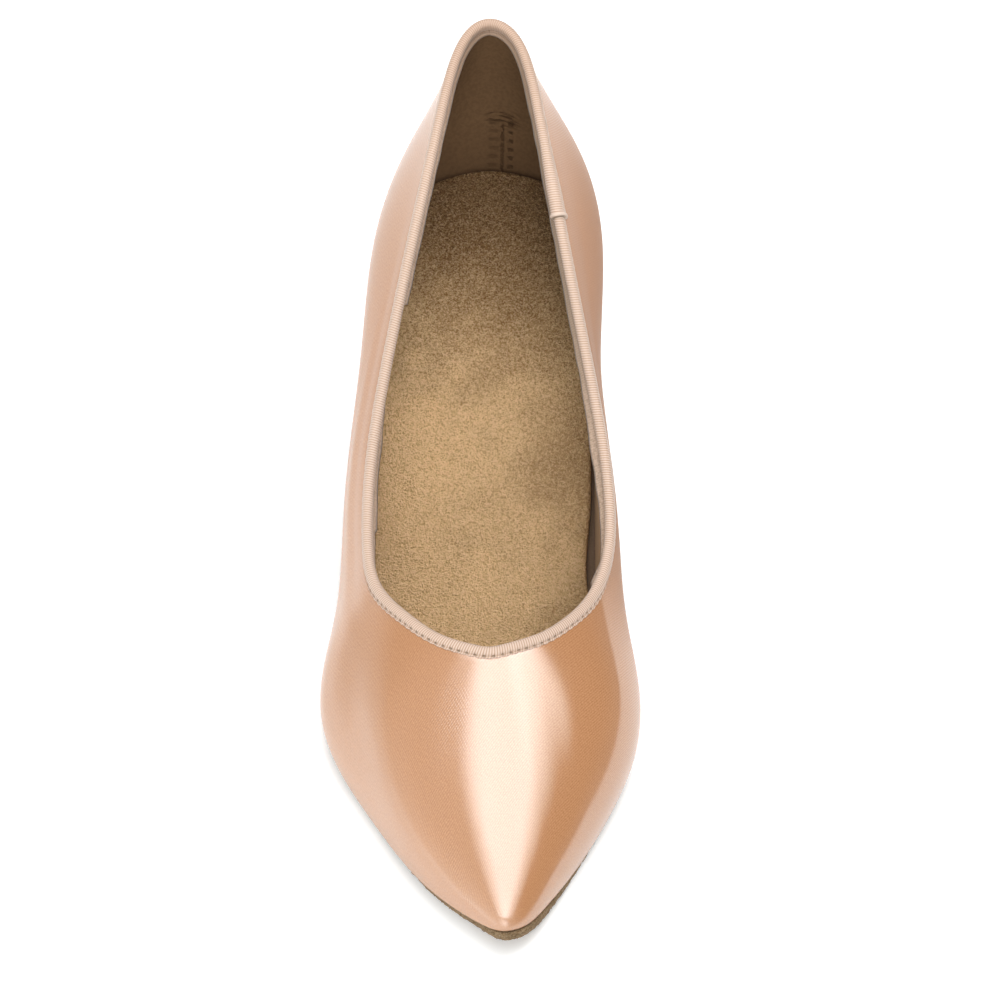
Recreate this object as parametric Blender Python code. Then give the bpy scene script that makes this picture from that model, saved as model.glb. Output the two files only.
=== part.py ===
"""Ballroom court shoe for the right foot: a satin upper on a suede sole and a slim covered heel.

Frame: metres, +Z up, the floor at z = 0, the toe towards -Y and the inner side of the foot
towards +X. The origin is on the floor under the middle of the shoe's box.

The last is worked out in millimetres, from its toe (back = 0) to its heel and from its
centre line outwards. Two tables give the last's outer and inner side, a row for each
section. Between the rows run smooth closed curves: the feather edge, where the upper meets
the sole, and the topline. One curved wall joins the two, and every piece is made from it.
"""

import math
from typing import NamedTuple

import bmesh
import bpy
import numpy as np

MM = 0.001


class Size(NamedTuple):
    """The measures that a last is graded by, in millimetres."""

    length: float  # feather edge, from toe to heel
    ball: float  # feather edge, across the ball
    instep: float  # topline over the last's bottom at the throat
    heel: float  # last's bottom over the tread at the back of the heel


# Driving dimensions. The tables below hold for the sample size and are graded to this shoe.
SAMPLE = Size(length=226.5, ball=79.0, instep=38.0, heel=60.0)
SHOE = Size(length=226.5, ball=79.0, instep=38.0, heel=60.0)

WALL = 1.3  # satin, backing and lining together
GAP = 0.3  # between pieces that meet
SOLE_THICKNESS = 2.6
SOLE_EDGE_ROUND = 0.5
TOE_SPRING = 6.4
TREAD = (58.0, 88.0)  # flat part of the sole, back from the toe
BREAST = 167.0  # front face of the heel, back from the toe

INSOLE_THICKNESS = 3.0
INSOLE_CLEARANCE = 0.3  # for the lean of the wall next to it
INSOLE_ROUND = 1.2
INSOLE_ROUND_PARTS = 3
LEAN_PART = 0.5  # part of the wall's height that is searched for its lean
LEAN_STEPS = 101

BINDING_THICKNESS = 0.5
BINDING_LEG = 2.8  # how far the ribbon reaches down each face of the wall

TIP_THICKNESS = 5.0
TIP_WIDTH = 23.0
TIP_DEPTH = 24.0
TIP_BACK = 227.0
TIP_EDGE_ROUND = 0.4
TIP_FULLNESS = 0.75  # under 1, so that the outline is fuller than an ellipse
TIP_POINTS = 25
TIP_OUT = -2.2  # its middle lies a little to the outer side
HEEL_INSET = 0.3
HEEL_SHOULDER = 0.17  # part of the heel's height in which it leaves the seat's outline
HEEL_STEM = 0.6  # part of its height in which it nears the tip's outline
BREAST_HOLLOW = 5.0

COLUMNS_PER_SECTION = 4
WALL_ROWS = 10
HEEL_ROWS = 12
BREAST_PARTS = 6

# Middle of the shoe's box on the last's own axes: the origin.
BOX_MIDDLE = (-3.83, 120.32)


class Section(NamedTuple):
    """One section of the last, at the sample size, in millimetres."""

    name: str
    back: float  # feather edge, back from the toe
    out: float  # feather edge, out from the centre line
    top_back: float  # topline, back from the toe
    top_out: float  # topline, out from the centre line
    depth: float  # topline over the last's bottom
    rise: float  # how steeply the wall leaves the feather edge, up
    flare: float  # and out
    drop: float  # how steeply the wall reaches the topline, down
    spread: float  # and out
    sole: float  # how far the sole's edge stands out from the feather edge


OUTER_SIDE = (
    Section("toe", 5.0, -2.4, 71.7, 1.8, 38.1, 5.5, 0.0, 21.5, 48.0, 0.7),
    Section("toe_round", 7.8, 3.4, 72.8, 6.6, 38.1, 5.5, 0.0, 21.5, 49.0, -0.5),
    Section("toe_side", 15.0, 11.2, 75.4, 12.6, 37.8, 9.0, 0.6, 18.0, 42.5, -1.0),
    Section("toe_back", 28.0, 21.3, 80.4, 18.8, 37.0, 11.6, 2.0, 14.0, 31.3, -1.2),
    Section("forepart", 50.0, 33.6, 89.0, 26.0, 35.5, 15.0, 3.8, 13.0, 18.0, -1.2),
    Section("ball", 76.0, 43.4, 99.5, 32.0, 33.0, 14.5, 7.3, 12.4, 7.0, -1.2),
    Section("ball_back", 105.0, 39.5, 113.0, 34.0, 31.7, 13.6, 6.8, 12.4, 4.7, -1.2),
    Section("waist", 135.0, 36.0, 135.5, 32.6, 31.9, 14.0, 6.8, 12.2, 7.8, -1.2),
    Section("breast", 165.0, 33.0, 164.0, 25.8, 36.3, 16.0, 7.4, 14.0, 7.8, -0.3),
    Section("seat", 195.0, 30.0, 192.0, 18.1, 45.6, 18.0, 9.2, 16.0, 7.0, -0.3),
    Section("heel_side", 220.0, 23.5, 214.8, 13.0, 50.1, 20.0, 6.2, 17.2, 5.5, -0.3),
    Section("heel_round", 229.0, 13.0, 228.3, 8.2, 51.9, 21.0, 5.5, 17.2, 4.8, -0.3),
    Section("heel", 231.5, 1.6, 233.0, 1.5, 52.5, 22.0, 6.2, 17.0, 4.8, -0.3),
)

INNER_SIDE = (
    Section("toe_round", 7.8, 8.3, 72.8, 3.0, 38.1, 5.5, 0.0, 21.0, 46.0, 0.6),
    Section("toe_side", 15.0, 13.2, 75.2, 8.6, 37.8, 8.5, 0.6, 20.0, 40.0, 0.25),
    Section("toe_back", 28.0, 20.3, 79.2, 14.4, 37.0, 11.7, 2.3, 14.7, 29.6, -0.5),
    Section("forepart", 50.0, 30.3, 87.4, 21.5, 35.5, 15.0, 4.8, 11.5, 20.5, -1.2),
    Section("ball", 76.0, 35.8, 99.0, 27.6, 33.1, 14.5, 6.1, 12.7, 6.8, -1.2),
    Section("ball_back", 105.0, 29.5, 114.0, 30.8, 31.5, 14.8, 6.3, 12.3, 3.3, -1.2),
    Section("waist", 135.0, 27.9, 136.0, 29.0, 31.7, 15.0, 4.4, 12.3, 3.7, -1.2),
    Section("breast", 165.0, 27.4, 164.3, 21.8, 36.2, 16.0, 2.4, 14.0, 6.2, -0.3),
    Section("seat", 195.0, 26.2, 192.0, 14.9, 45.6, 18.6, 8.2, 15.8, 9.0, -0.3),
    Section("heel_side", 220.0, 21.1, 215.4, 10.4, 50.0, 20.0, 7.3, 17.2, 7.4, -0.3),
    Section("heel_round", 229.0, 10.5, 228.7, 5.6, 51.9, 20.8, 5.0, 17.0, 5.5, -0.3),
)


class Station(NamedTuple):
    """Height of the last's bottom over the tread behind the ball, at the sample size."""

    back: float
    lift: float


SHANK = (
    Station(88.0, 0.0),
    Station(110.0, 4.3),
    Station(130.0, 14.1),
    Station(150.0, 27.9),
    Station(165.0, 38.5),
    Station(180.0, 46.7),
    Station(200.0, 53.4),
    Station(220.0, 57.5),
    Station(236.0, 60.1),
)
SHANK_END_SLOPE = 0.16

FINISHES = {
    "upper": ((0.80, 0.55, 0.40), 0.35),
    "collar_binding": ((0.78, 0.60, 0.48), 0.6),
    "insole": ((0.42, 0.31, 0.18), 0.95),
    "outsole": ((0.30, 0.22, 0.14), 0.95),
    "heel_block": ((0.80, 0.55, 0.40), 0.35),
    "heel_tip": ((0.05, 0.04, 0.04), 0.6),
}


# Curves


def spline(knots, values, closed=False, end_slopes=(0.0, 0.0)):
    """Return a function of the knots' parameter that runs a smooth cubic through the values."""
    knots = np.asarray(knots, float)
    values = np.asarray(values, float)
    count = len(knots)
    steps = np.diff(knots)
    grades = (np.diff(values, axis=0).T / steps).T
    matrix = np.zeros((count, count))
    right = np.zeros_like(values)
    for i in range(1, count - 1):
        before, after = 1.0 / steps[i - 1], 1.0 / steps[i]
        matrix[i, i - 1 : i + 2] = before, 2.0 * (before + after), after
        right[i] = 3.0 * (grades[i - 1] * before + grades[i] * after)
    if closed:
        before, after = 1.0 / steps[-1], 1.0 / steps[0]
        matrix[0, [0, 1, -2]] = 2.0 * (before + after), after, before
        right[0] = 3.0 * (grades[-1] * before + grades[0] * after)
        matrix[-1, 0], matrix[-1, -1] = -1.0, 1.0
    else:
        matrix[0, 0] = matrix[-1, -1] = 1.0
        right[0], right[-1] = end_slopes
    slopes = np.linalg.solve(matrix, right)

    def curve(at):
        at = np.asarray(at, float)
        i = np.clip(np.searchsorted(knots, at, side="right") - 1, 0, count - 2)
        s = (at - knots[i]) / steps[i]
        step = steps[i]
        if values.ndim > 1:
            s, step = s[..., None], step[..., None]
        rest = 1.0 - s
        return (
            (1.0 + 2.0 * s) * rest**2 * values[i]
            + s * rest**2 * step * slopes[i]
            + s**2 * (3.0 - 2.0 * s) * values[i + 1]
            - s**2 * rest * step * slopes[i + 1]
        )

    return curve


ALONG = SHOE.length / SAMPLE.length
ACROSS = SHOE.ball / SAMPLE.ball
UP = SHOE.instep / SAMPLE.instep
LIFT = SHOE.heel / SAMPLE.heel

shank_curve = spline(
    [ALONG * station.back for station in SHANK],
    [LIFT * station.lift for station in SHANK],
    end_slopes=(0.0, SHANK_END_SLOPE * LIFT / ALONG),
)


def last_bottom(back):
    """Height of the last's bottom over the floor, at a distance back from the toe."""
    back = np.asarray(back, float)
    start, end = (ALONG * mark for mark in TREAD)
    toe = ALONG * OUTER_SIDE[0].back
    spring = TOE_SPRING * (np.clip(start - back, 0.0, None) / (start - toe)) ** 2
    return SOLE_THICKNESS + GAP + spring + shank_curve(np.clip(back, end, None))


def under_last(back, depth):
    """Height of a surface that lies a depth below the last's bottom, square to it."""
    step = 0.5
    slope = (last_bottom(back + step) - last_bottom(back - step)) / (2.0 * step)
    return last_bottom(back) - depth * np.sqrt(1.0 + slope**2)


# The last's wall


def section_values(section, side):
    """Return a section's graded numbers, with its side, -1 outer or 1 inner."""
    return (
        side * ACROSS * section.out,
        ALONG * section.back,
        side * ACROSS * section.top_out,
        ALONG * section.top_back,
        UP * section.depth,
        UP * section.rise,
        ACROSS * section.flare,
        UP * section.drop,
        ACROSS * section.spread,
        section.sole,
    )


def plan_normals(loop):
    """Return the outward unit normals of a closed loop in plan, which runs clockwise."""
    along = np.roll(loop, -1, axis=0) - np.roll(loop, 1, axis=0)
    normals = np.column_stack([-along[:, 1], along[:, 0]])
    return normals / np.linalg.norm(normals, axis=1)[:, None]


def round_the_last():
    """Return the feather edge and topline, the two curves between that shape the wall, and
    how far the sole's edge stands out.
    """
    rows = [section_values(section, -1.0) for section in OUTER_SIDE]
    rows += [section_values(section, 1.0) for section in reversed(INNER_SIDE)]
    rows.append(rows[0])
    curve = spline(range(len(rows)), rows, closed=True)
    columns = curve(np.arange((len(rows) - 1) * COLUMNS_PER_SECTION) / COLUMNS_PER_SECTION)
    out, back, top_out, top_back, depth, rise, flare, drop, spread, sole = columns.T
    feather = np.column_stack([out, back, last_bottom(back)])
    topline = np.column_stack([top_out, top_back, last_bottom(top_back) + depth])
    out_low = plan_normals(feather[:, :2])
    out_high = plan_normals(topline[:, :2])
    leaving = feather + np.column_stack([out_low * flare[:, None], rise])
    arriving = topline + np.column_stack([out_high * spread[:, None], -drop])
    return feather, leaving, arriving, topline, sole


FEATHER, LEAVING, ARRIVING, TOPLINE, SOLE_OUT = round_the_last()
FEATHER_OUT = plan_normals(FEATHER[:, :2])


def wall_ring(t):
    """Return the wall's outer face at a part t of its height, 0 at the feather edge.

    The part is one number, or a column of them, one for each column of the wall.
    """
    s = 1.0 - t
    return s**3 * FEATHER + 3.0 * s * s * t * LEAVING + 3.0 * s * t * t * ARRIVING + t**3 * TOPLINE


def feather_loop(inset):
    """Return the feather edge in plan, moved in by an inset, or by one for each column."""
    return FEATHER[:, :2] - FEATHER_OUT * np.broadcast_to(inset, len(FEATHER))[:, None]


def wall_lean(lift):
    """Return how far in the wall's inner face stands at a height over the last's bottom."""
    rings = np.array([wall_ring(part) for part in np.linspace(0.0, LEAN_PART, LEAN_STEPS)])
    out = np.sum((rings[:, :, :2] - FEATHER[:, :2]) * FEATHER_OUT, axis=2)
    up = rings[:, :, 2] - last_bottom(rings[:, :, 1])
    steps_out, steps_up = np.gradient(out, axis=0), np.gradient(up, axis=0)
    steps = np.hypot(steps_out, steps_up)
    inner_in = WALL * steps_up / steps - out
    inner_up = up + WALL * steps_out / steps
    return np.array([np.interp(lift, inner_up[:, i], inner_in[:, i]) for i in range(len(out[0]))])


def plate_ring(inset, height):
    """Return a ring inside the feather edge, at the height that a function of back gives."""
    loop = feather_loop(inset)
    return np.column_stack([loop, height(loop[:, 1])])


# Meshes


def to_world(points):
    """Turn the last's millimetres into metres in the shoe's own frame."""
    middle = np.array([BOX_MIDDLE[0], BOX_MIDDLE[1], 0.0])
    return (np.asarray(points, float) - middle) * MM


def skin(rings):
    """Return a bmesh skinned over closed rings of points, and its rings of vertices."""
    shape = bmesh.new()
    rows = [[shape.verts.new(point) for point in to_world(ring)] for ring in rings]
    for low, high in zip(rows, rows[1:]):
        for i in range(len(low)):
            j = (i + 1) % len(low)
            shape.faces.new((low[i], high[i], high[j], low[j]))
    return shape, rows


def cut_sides(loop, back, front):
    """Cut a loop in plan along a line across the shoe, and keep its front or its rear.

    The outer and the inner side are returned, each from its toe end to its heel end.
    """
    heel = len(loop) // 2
    sides = []
    for side in (loop[: heel + 1], np.vstack([loop[:1], loop[:heel - 1:-1]])):
        k = int(np.searchsorted(side[:, 1], back))
        share = (back - side[k - 1, 1]) / (side[k, 1] - side[k - 1, 1])
        corner = side[k - 1] + share * (side[k] - side[k - 1])
        sides.append(np.vstack([side[:k], corner] if front else [corner, side[k:]]))
    return sides


def fill_across(shape, left, right, nose=()):
    """Fill a flat or curved end from the outer side's vertices to the inner side's."""
    shape.faces.new([*dict.fromkeys([left[1], left[0], *nose, right[0], right[1]])])
    for i in range(1, len(left) - 1):
        shape.faces.new([*dict.fromkeys([left[i + 1], left[i], right[i], right[i + 1]])])


def close_up(shape):
    """Turn every face of a closed shape outwards."""
    bmesh.ops.recalc_face_normals(shape, faces=shape.faces)
    return shape


def add_part(name, shape):
    """Make a named object from a bmesh, in its own plain material."""
    colour, roughness = FINISHES[name]
    material = bpy.data.materials.new(name)
    material.use_nodes = True
    surface = material.node_tree.nodes["Principled BSDF"]
    surface.inputs["Base Color"].default_value = (*colour, 1.0)
    surface.inputs["Roughness"].default_value = roughness
    mesh = bpy.data.meshes.new(name)
    shape.to_mesh(mesh)
    shape.free()
    mesh.materials.append(material)
    mesh.shade_smooth()
    mesh.set_sharp_from_angle(angle=math.radians(40.0))
    part = bpy.data.objects.new(name, mesh)
    bpy.context.scene.collection.objects.link(part)
    return part


# Pieces


def make_upper():
    """The satin upper with its lining: one wall, open at the collar and underneath."""
    shape, _ = skin([wall_ring(row / WALL_ROWS) for row in range(WALL_ROWS + 1)])
    upper = add_part("upper", shape)
    wall = upper.modifiers.new("wall", "SOLIDIFY")
    wall.thickness = WALL * MM
    wall.offset = -1.0
    wall.use_even_offset = True
    return upper


def topline_frame():
    """Return the wall's outward and upward unit directions along the topline."""
    along = np.roll(TOPLINE, -1, axis=0) - np.roll(TOPLINE, 1, axis=0)
    outward = np.cross(TOPLINE - ARRIVING, along)
    outward /= np.linalg.norm(outward, axis=1)[:, None]
    up = np.cross(along, outward)
    up /= np.linalg.norm(up, axis=1)[:, None]
    return outward, up


def fold_rings(half_width, parts):
    """Return rings along one face of the ribbon: up outside, over the edge and down inside."""
    outward, up = topline_frame()
    reach = 3.0 * np.linalg.norm(TOPLINE - ARRIVING, axis=1)[:, None]
    edge = TOPLINE - outward * (WALL / 2.0)
    hem = wall_ring(1.0 - BINDING_LEG / reach) - outward * (WALL / 2.0)
    turns = [math.pi * part / parts for part in range(parts + 1)]
    over = [edge + half_width * (outward * math.cos(turn) + up * math.sin(turn)) for turn in turns]
    return [hem + outward * half_width, *over, hem - outward * half_width]


def make_collar_binding():
    """The ribbon folded over the collar's edge, all the way round."""
    inside = WALL / 2.0 + GAP
    rings = fold_rings(inside + BINDING_THICKNESS, 4) + fold_rings(inside, 2)[::-1]
    shape, _ = skin([*rings, rings[0]])
    bmesh.ops.remove_doubles(shape, verts=shape.verts, dist=0.01 * MM)
    return add_part("collar_binding", close_up(shape))


def make_outsole():
    """The suede sole from the toe to the heel's breast, flat where the shoe treads."""
    under = SOLE_THICKNESS + GAP

    def edge_ring(inset, depth):
        loop = FEATHER[:, :2] + FEATHER_OUT * (SOLE_OUT - inset)[:, None]
        outer, inner = cut_sides(loop, ALONG * BREAST - GAP, front=True)
        ring = np.vstack([inner[::-1], outer[1:]])
        return np.column_stack([ring, under_last(ring[:, 1], depth)])

    shape, rows = skin(
        [
            edge_ring(SOLE_EDGE_ROUND, GAP),
            edge_ring(0.0, GAP + SOLE_EDGE_ROUND),
            edge_ring(0.0, under - SOLE_EDGE_ROUND),
            edge_ring(SOLE_EDGE_ROUND, under),
        ]
    )
    tip = len(rows[0]) // 2
    for row in (rows[0], rows[-1]):
        fill_across(shape, row[tip:], row[tip::-1])
    return add_part("outsole", close_up(shape))


def make_insole():
    """The padded suede sock on its board, with a rounded upper edge, inside the wall."""
    side = WALL + GAP + INSOLE_CLEARANCE

    def edge_ring(inset, lift):
        clear = wall_lean(lift) + GAP + INSOLE_CLEARANCE
        return plate_ring(np.maximum(inset, clear), lambda back: under_last(back, -lift))

    rings = [edge_ring(side, 0.0)]
    for part in range(INSOLE_ROUND_PARTS + 1):
        turn = 0.5 * math.pi * part / INSOLE_ROUND_PARTS
        inset = side + INSOLE_ROUND * (1.0 - math.cos(turn))
        rings.append(edge_ring(inset, INSOLE_THICKNESS - INSOLE_ROUND * (1.0 - math.sin(turn))))
    shape, rows = skin(rings)
    heel = len(rows[0]) // 2
    for row in (rows[0], rows[-1]):
        inner = [row[0], *row[:heel:-1], row[heel]]
        fill_across(shape, row[: heel + 1], inner)
    return add_part("insole", close_up(shape))


def tip_ring(inset, height, count):
    """Return the heel tip's outline: straight in front, with full sides and a round back."""
    width = 0.5 * TIP_WIDTH - inset
    depth = TIP_DEPTH - 2.0 * inset
    front = TIP_BACK - TIP_DEPTH + inset
    turns = math.pi * (1.0 - np.arange(count) / (count - 1))
    out = TIP_OUT + width * np.sign(np.cos(turns)) * np.abs(np.cos(turns)) ** TIP_FULLNESS
    back = front + depth * np.abs(np.sin(turns)) ** TIP_FULLNESS
    around = np.column_stack([out, back, np.full(count, height)])
    return close_breast(around)


def close_breast(around):
    """Close an outline across its front with a straight line from its end to its start."""
    shares = np.arange(1, BREAST_PARTS)[:, None] / BREAST_PARTS
    return np.vstack([around, around[-1] + (around[0] - around[-1]) * shares])


def fill_heel_end(shape, row):
    """Fill the top or bottom of a piece of the heel."""
    around = row[: len(row) - BREAST_PARTS + 1]
    middle = len(around) // 2
    nose = row[:middle:-1][: BREAST_PARTS - 1]
    fill_across(shape, around[: middle + 1], around[: middle - 1 : -1], nose)


def make_heel_block():
    """The covered heel: it fits under the seat and draws in to the tip, hollow in front."""
    outer, inner = cut_sides(feather_loop(HEEL_INSET), ALONG * BREAST, front=False)
    around = np.vstack([outer, inner[-2::-1]])
    around = np.column_stack([around, under_last(around[:, 1], GAP)])
    top = close_breast(around)
    top[:, 2] = under_last(top[:, 1], GAP)
    bottom = tip_ring(0.0, TIP_THICKNESS + GAP, len(around))
    height = top[:, 2] - bottom[:, 2]
    shares = np.arange(1, BREAST_PARTS) / BREAST_PARTS
    hollow = np.zeros(len(top))
    hollow[len(around) :] = BREAST_HOLLOW * 4.0 * shares * (1.0 - shares)
    below_top = top + np.column_stack([0.0 * height, hollow, -HEEL_SHOULDER * height])
    over_tip = bottom + np.column_stack([0.0 * height, hollow, HEEL_STEM * height])
    rings = []
    for row in range(HEEL_ROWS + 1):
        t = row / HEEL_ROWS
        s = 1.0 - t
        rings.append(s**3 * top + 3.0 * s * s * t * below_top + 3.0 * s * t * t * over_tip + t**3 * bottom)
    shape, rows = skin(rings)
    fill_heel_end(shape, rows[0])
    fill_heel_end(shape, rows[-1])
    return add_part("heel_block", close_up(shape))


def make_heel_tip():
    """The tip that the heel stands on, flat underneath."""
    shape, rows = skin(
        [
            tip_ring(TIP_EDGE_ROUND, TIP_THICKNESS, TIP_POINTS),
            tip_ring(0.0, TIP_THICKNESS - TIP_EDGE_ROUND, TIP_POINTS),
            tip_ring(0.0, TIP_EDGE_ROUND, TIP_POINTS),
            tip_ring(TIP_EDGE_ROUND, 0.0, TIP_POINTS),
        ]
    )
    fill_heel_end(shape, rows[0])
    fill_heel_end(shape, rows[-1])
    return add_part("heel_tip", close_up(shape))


def main():
    """Clear the scene and make the shoe's pieces."""
    for thing in list(bpy.data.objects):
        bpy.data.objects.remove(thing)
    make_outsole()
    make_insole()
    make_upper()
    make_collar_binding()
    make_heel_block()
    make_heel_tip()


main()
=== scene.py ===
"""Looks of a ballroom court shoe for the right foot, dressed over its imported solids.

Frame: metres, +Z up, the floor at z = 0, the toe towards -Y and the inner side of the foot
towards +X. The origin is on the floor under the middle of the shoe.

The last is worked out in millimetres from its toe, as a shoemaker draws it: two tables hold
its outer and inner side, and smooth closed curves run between their rows. Every piece is a
fine grid whose points a function of the last puts in place.
"""

from __future__ import annotations

import logging
import math
from collections.abc import Callable, Sequence
from dataclasses import dataclass
from typing import NamedTuple

import bmesh
import bpy
import numpy as np
from mathutils import Matrix, Vector, noise

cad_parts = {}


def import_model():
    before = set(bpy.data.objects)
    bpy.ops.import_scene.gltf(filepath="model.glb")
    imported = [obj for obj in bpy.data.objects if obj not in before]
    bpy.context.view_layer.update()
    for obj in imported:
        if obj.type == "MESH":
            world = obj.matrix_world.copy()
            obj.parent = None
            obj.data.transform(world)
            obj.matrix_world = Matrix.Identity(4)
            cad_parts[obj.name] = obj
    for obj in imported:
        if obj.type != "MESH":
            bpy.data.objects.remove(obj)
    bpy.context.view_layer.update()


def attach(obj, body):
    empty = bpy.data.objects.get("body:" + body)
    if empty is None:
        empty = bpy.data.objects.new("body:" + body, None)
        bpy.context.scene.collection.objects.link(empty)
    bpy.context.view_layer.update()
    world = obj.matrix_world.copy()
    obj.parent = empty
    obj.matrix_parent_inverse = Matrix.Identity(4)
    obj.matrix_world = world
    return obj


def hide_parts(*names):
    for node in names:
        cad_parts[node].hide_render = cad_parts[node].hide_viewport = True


MM = 0.001
BODY = "root"
Array = np.ndarray
Colour = tuple[float, float, float]
Point = tuple[float, float, float]
Span = tuple[float, float]
Place = Callable[[Array, Array], Array]
Piece = bpy.types.Object
Material = bpy.types.Material
log = logging.getLogger("court_shoe")


# The last


@dataclass(frozen=True)
class Section:
    """One section of the last, in millimetres."""

    name: str
    back: float  # feather edge, back from the toe
    out: float  # feather edge, out from the centre line
    top_back: float  # topline, back from the toe
    top_out: float  # topline, out from the centre line
    depth: float  # topline over the last's bottom
    rise: float  # how steeply the wall leaves the feather edge, up
    flare: float  # and out
    drop: float  # how steeply the wall reaches the topline, down
    spread: float  # and out
    sole: float  # how far the sole's edge stands out from the feather edge


OUTER_SIDE = (
    Section("toe", 5.0, -2.4, 71.7, 1.8, 38.1, 5.5, 0.0, 21.5, 48.0, 0.7),
    Section("toe_round", 7.8, 3.4, 72.8, 6.6, 38.1, 5.5, 0.0, 21.5, 49.0, -0.5),
    Section("toe_side", 15.0, 11.2, 75.4, 12.6, 37.8, 9.0, 0.6, 18.0, 42.5, -1.0),
    Section("toe_back", 28.0, 21.3, 80.4, 18.8, 37.0, 11.6, 2.0, 14.0, 31.3, -1.2),
    Section("forepart", 50.0, 33.6, 89.0, 26.0, 35.5, 15.0, 3.8, 13.0, 18.0, -1.2),
    Section("ball", 76.0, 43.4, 99.5, 32.0, 33.0, 14.5, 7.3, 12.4, 7.0, -1.2),
    Section("ball_back", 105.0, 39.5, 113.0, 34.0, 31.7, 13.6, 6.8, 12.4, 4.7, -1.2),
    Section("waist", 135.0, 36.0, 135.5, 32.6, 31.9, 14.0, 6.8, 12.2, 7.8, -1.2),
    Section("breast", 165.0, 33.0, 164.0, 25.8, 36.3, 16.0, 7.4, 14.0, 7.8, -0.3),
    Section("seat", 195.0, 30.0, 192.0, 18.1, 45.6, 18.0, 9.2, 16.0, 7.0, -0.3),
    Section("heel_side", 220.0, 23.5, 214.8, 13.0, 50.1, 20.0, 6.2, 17.2, 5.5, -0.3),
    Section("heel_round", 229.0, 13.0, 228.3, 8.2, 51.9, 21.0, 5.5, 17.2, 4.8, -0.3),
    Section("heel", 231.5, 1.6, 233.0, 1.5, 52.5, 22.0, 6.2, 17.0, 4.8, -0.3),
)

INNER_SIDE = (
    Section("toe_round", 7.8, 8.3, 72.8, 3.0, 38.1, 5.5, 0.0, 21.0, 46.0, 0.6),
    Section("toe_side", 15.0, 13.2, 75.2, 8.6, 37.8, 8.5, 0.6, 20.0, 40.0, 0.25),
    Section("toe_back", 28.0, 20.3, 79.2, 14.4, 37.0, 11.7, 2.3, 14.7, 29.6, -0.5),
    Section("forepart", 50.0, 30.3, 87.4, 21.5, 35.5, 15.0, 4.8, 11.5, 20.5, -1.2),
    Section("ball", 76.0, 35.8, 99.0, 27.6, 33.1, 14.5, 6.1, 12.7, 6.8, -1.2),
    Section("ball_back", 105.0, 29.5, 114.0, 30.8, 31.5, 14.8, 6.3, 12.3, 3.3, -1.2),
    Section("waist", 135.0, 27.9, 136.0, 29.0, 31.7, 15.0, 4.4, 12.3, 3.7, -1.2),
    Section("breast", 165.0, 27.4, 164.3, 21.8, 36.2, 16.0, 2.4, 14.0, 6.2, -0.3),
    Section("seat", 195.0, 26.2, 192.0, 14.9, 45.6, 18.6, 8.2, 15.8, 9.0, -0.3),
    Section("heel_side", 220.0, 21.1, 215.4, 10.4, 50.0, 20.0, 7.3, 17.2, 7.4, -0.3),
    Section("heel_round", 229.0, 10.5, 228.7, 5.6, 51.9, 20.8, 5.0, 17.0, 5.5, -0.3),
)

# The last's bottom over the tread behind the ball: back from the toe, height.
SHANK = (
    (88.0, 0.0),
    (110.0, 4.3),
    (130.0, 14.1),
    (150.0, 27.9),
    (165.0, 38.5),
    (180.0, 46.7),
    (200.0, 53.4),
    (220.0, 57.5),
    (236.0, 60.1),
)
SHANK_END_SLOPE = 0.16


class Spline:
    """A smooth cubic through values at knots, closed or with given slopes at its ends."""

    def __init__(
        self,
        knots: Sequence[float],
        values: Sequence[object],
        closed: bool = False,
        end_slopes: tuple[float, float] = (0.0, 0.0),
    ) -> None:
        """Work out the slopes at the knots.

        Args:
            knots: Parameter of each value, rising.
            values: A number or a row of numbers for each knot.
            closed: Whether the last value is the first again.
            end_slopes: Slopes at the ends of an open spline.
        """
        self.knots = np.asarray(knots, float)
        self.values = np.asarray(values, float)
        count = len(self.knots)
        steps = np.diff(self.knots)
        grades = (np.diff(self.values, axis=0).T / steps).T
        matrix = np.zeros((count, count))
        right = np.zeros_like(self.values)
        for i in range(1, count - 1):
            before, after = 1.0 / steps[i - 1], 1.0 / steps[i]
            matrix[i, i - 1 : i + 2] = before, 2.0 * (before + after), after
            right[i] = 3.0 * (grades[i - 1] * before + grades[i] * after)
        if closed:
            before, after = 1.0 / steps[-1], 1.0 / steps[0]
            matrix[0, [0, 1, -2]] = 2.0 * (before + after), after, before
            right[0] = 3.0 * (grades[-1] * before + grades[0] * after)
            matrix[-1, 0], matrix[-1, -1] = -1.0, 1.0
        else:
            matrix[0, 0] = matrix[-1, -1] = 1.0
            right[0], right[-1] = end_slopes
        self.steps = steps
        self.slopes = np.linalg.solve(matrix, right)

    def __call__(self, at: Array) -> Array:
        """Return the values at parameters.

        Args:
            at: The parameters, between the first knot and the last.

        Returns:
            A number or a row of numbers for each.
        """
        at = np.asarray(at, float)
        i = np.clip(np.searchsorted(self.knots, at, side="right") - 1, 0, len(self.steps) - 1)
        step = self.steps[i]
        s = (at - self.knots[i]) / step
        if self.values.ndim > 1:
            s, step = s[..., None], step[..., None]
        rest = 1.0 - s
        return (
            (1.0 + 2.0 * s) * rest**2 * self.values[i]
            + s * rest**2 * step * self.slopes[i]
            + s**2 * (3.0 - 2.0 * s) * self.values[i + 1]
            - s**2 * rest * step * self.slopes[i + 1]
        )


def unit(vectors: Array) -> Array:
    """Return vectors at length 1."""
    return vectors / np.linalg.norm(vectors, axis=-1, keepdims=True)


def smooth(low: float, high: float, at: Array) -> Array:
    """Return a soft step from 0 at low to 1 at high."""
    s = np.clip((np.asarray(at, float) - low) / (high - low), 0.0, 1.0)
    return s * s * (3.0 - 2.0 * s)


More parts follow.
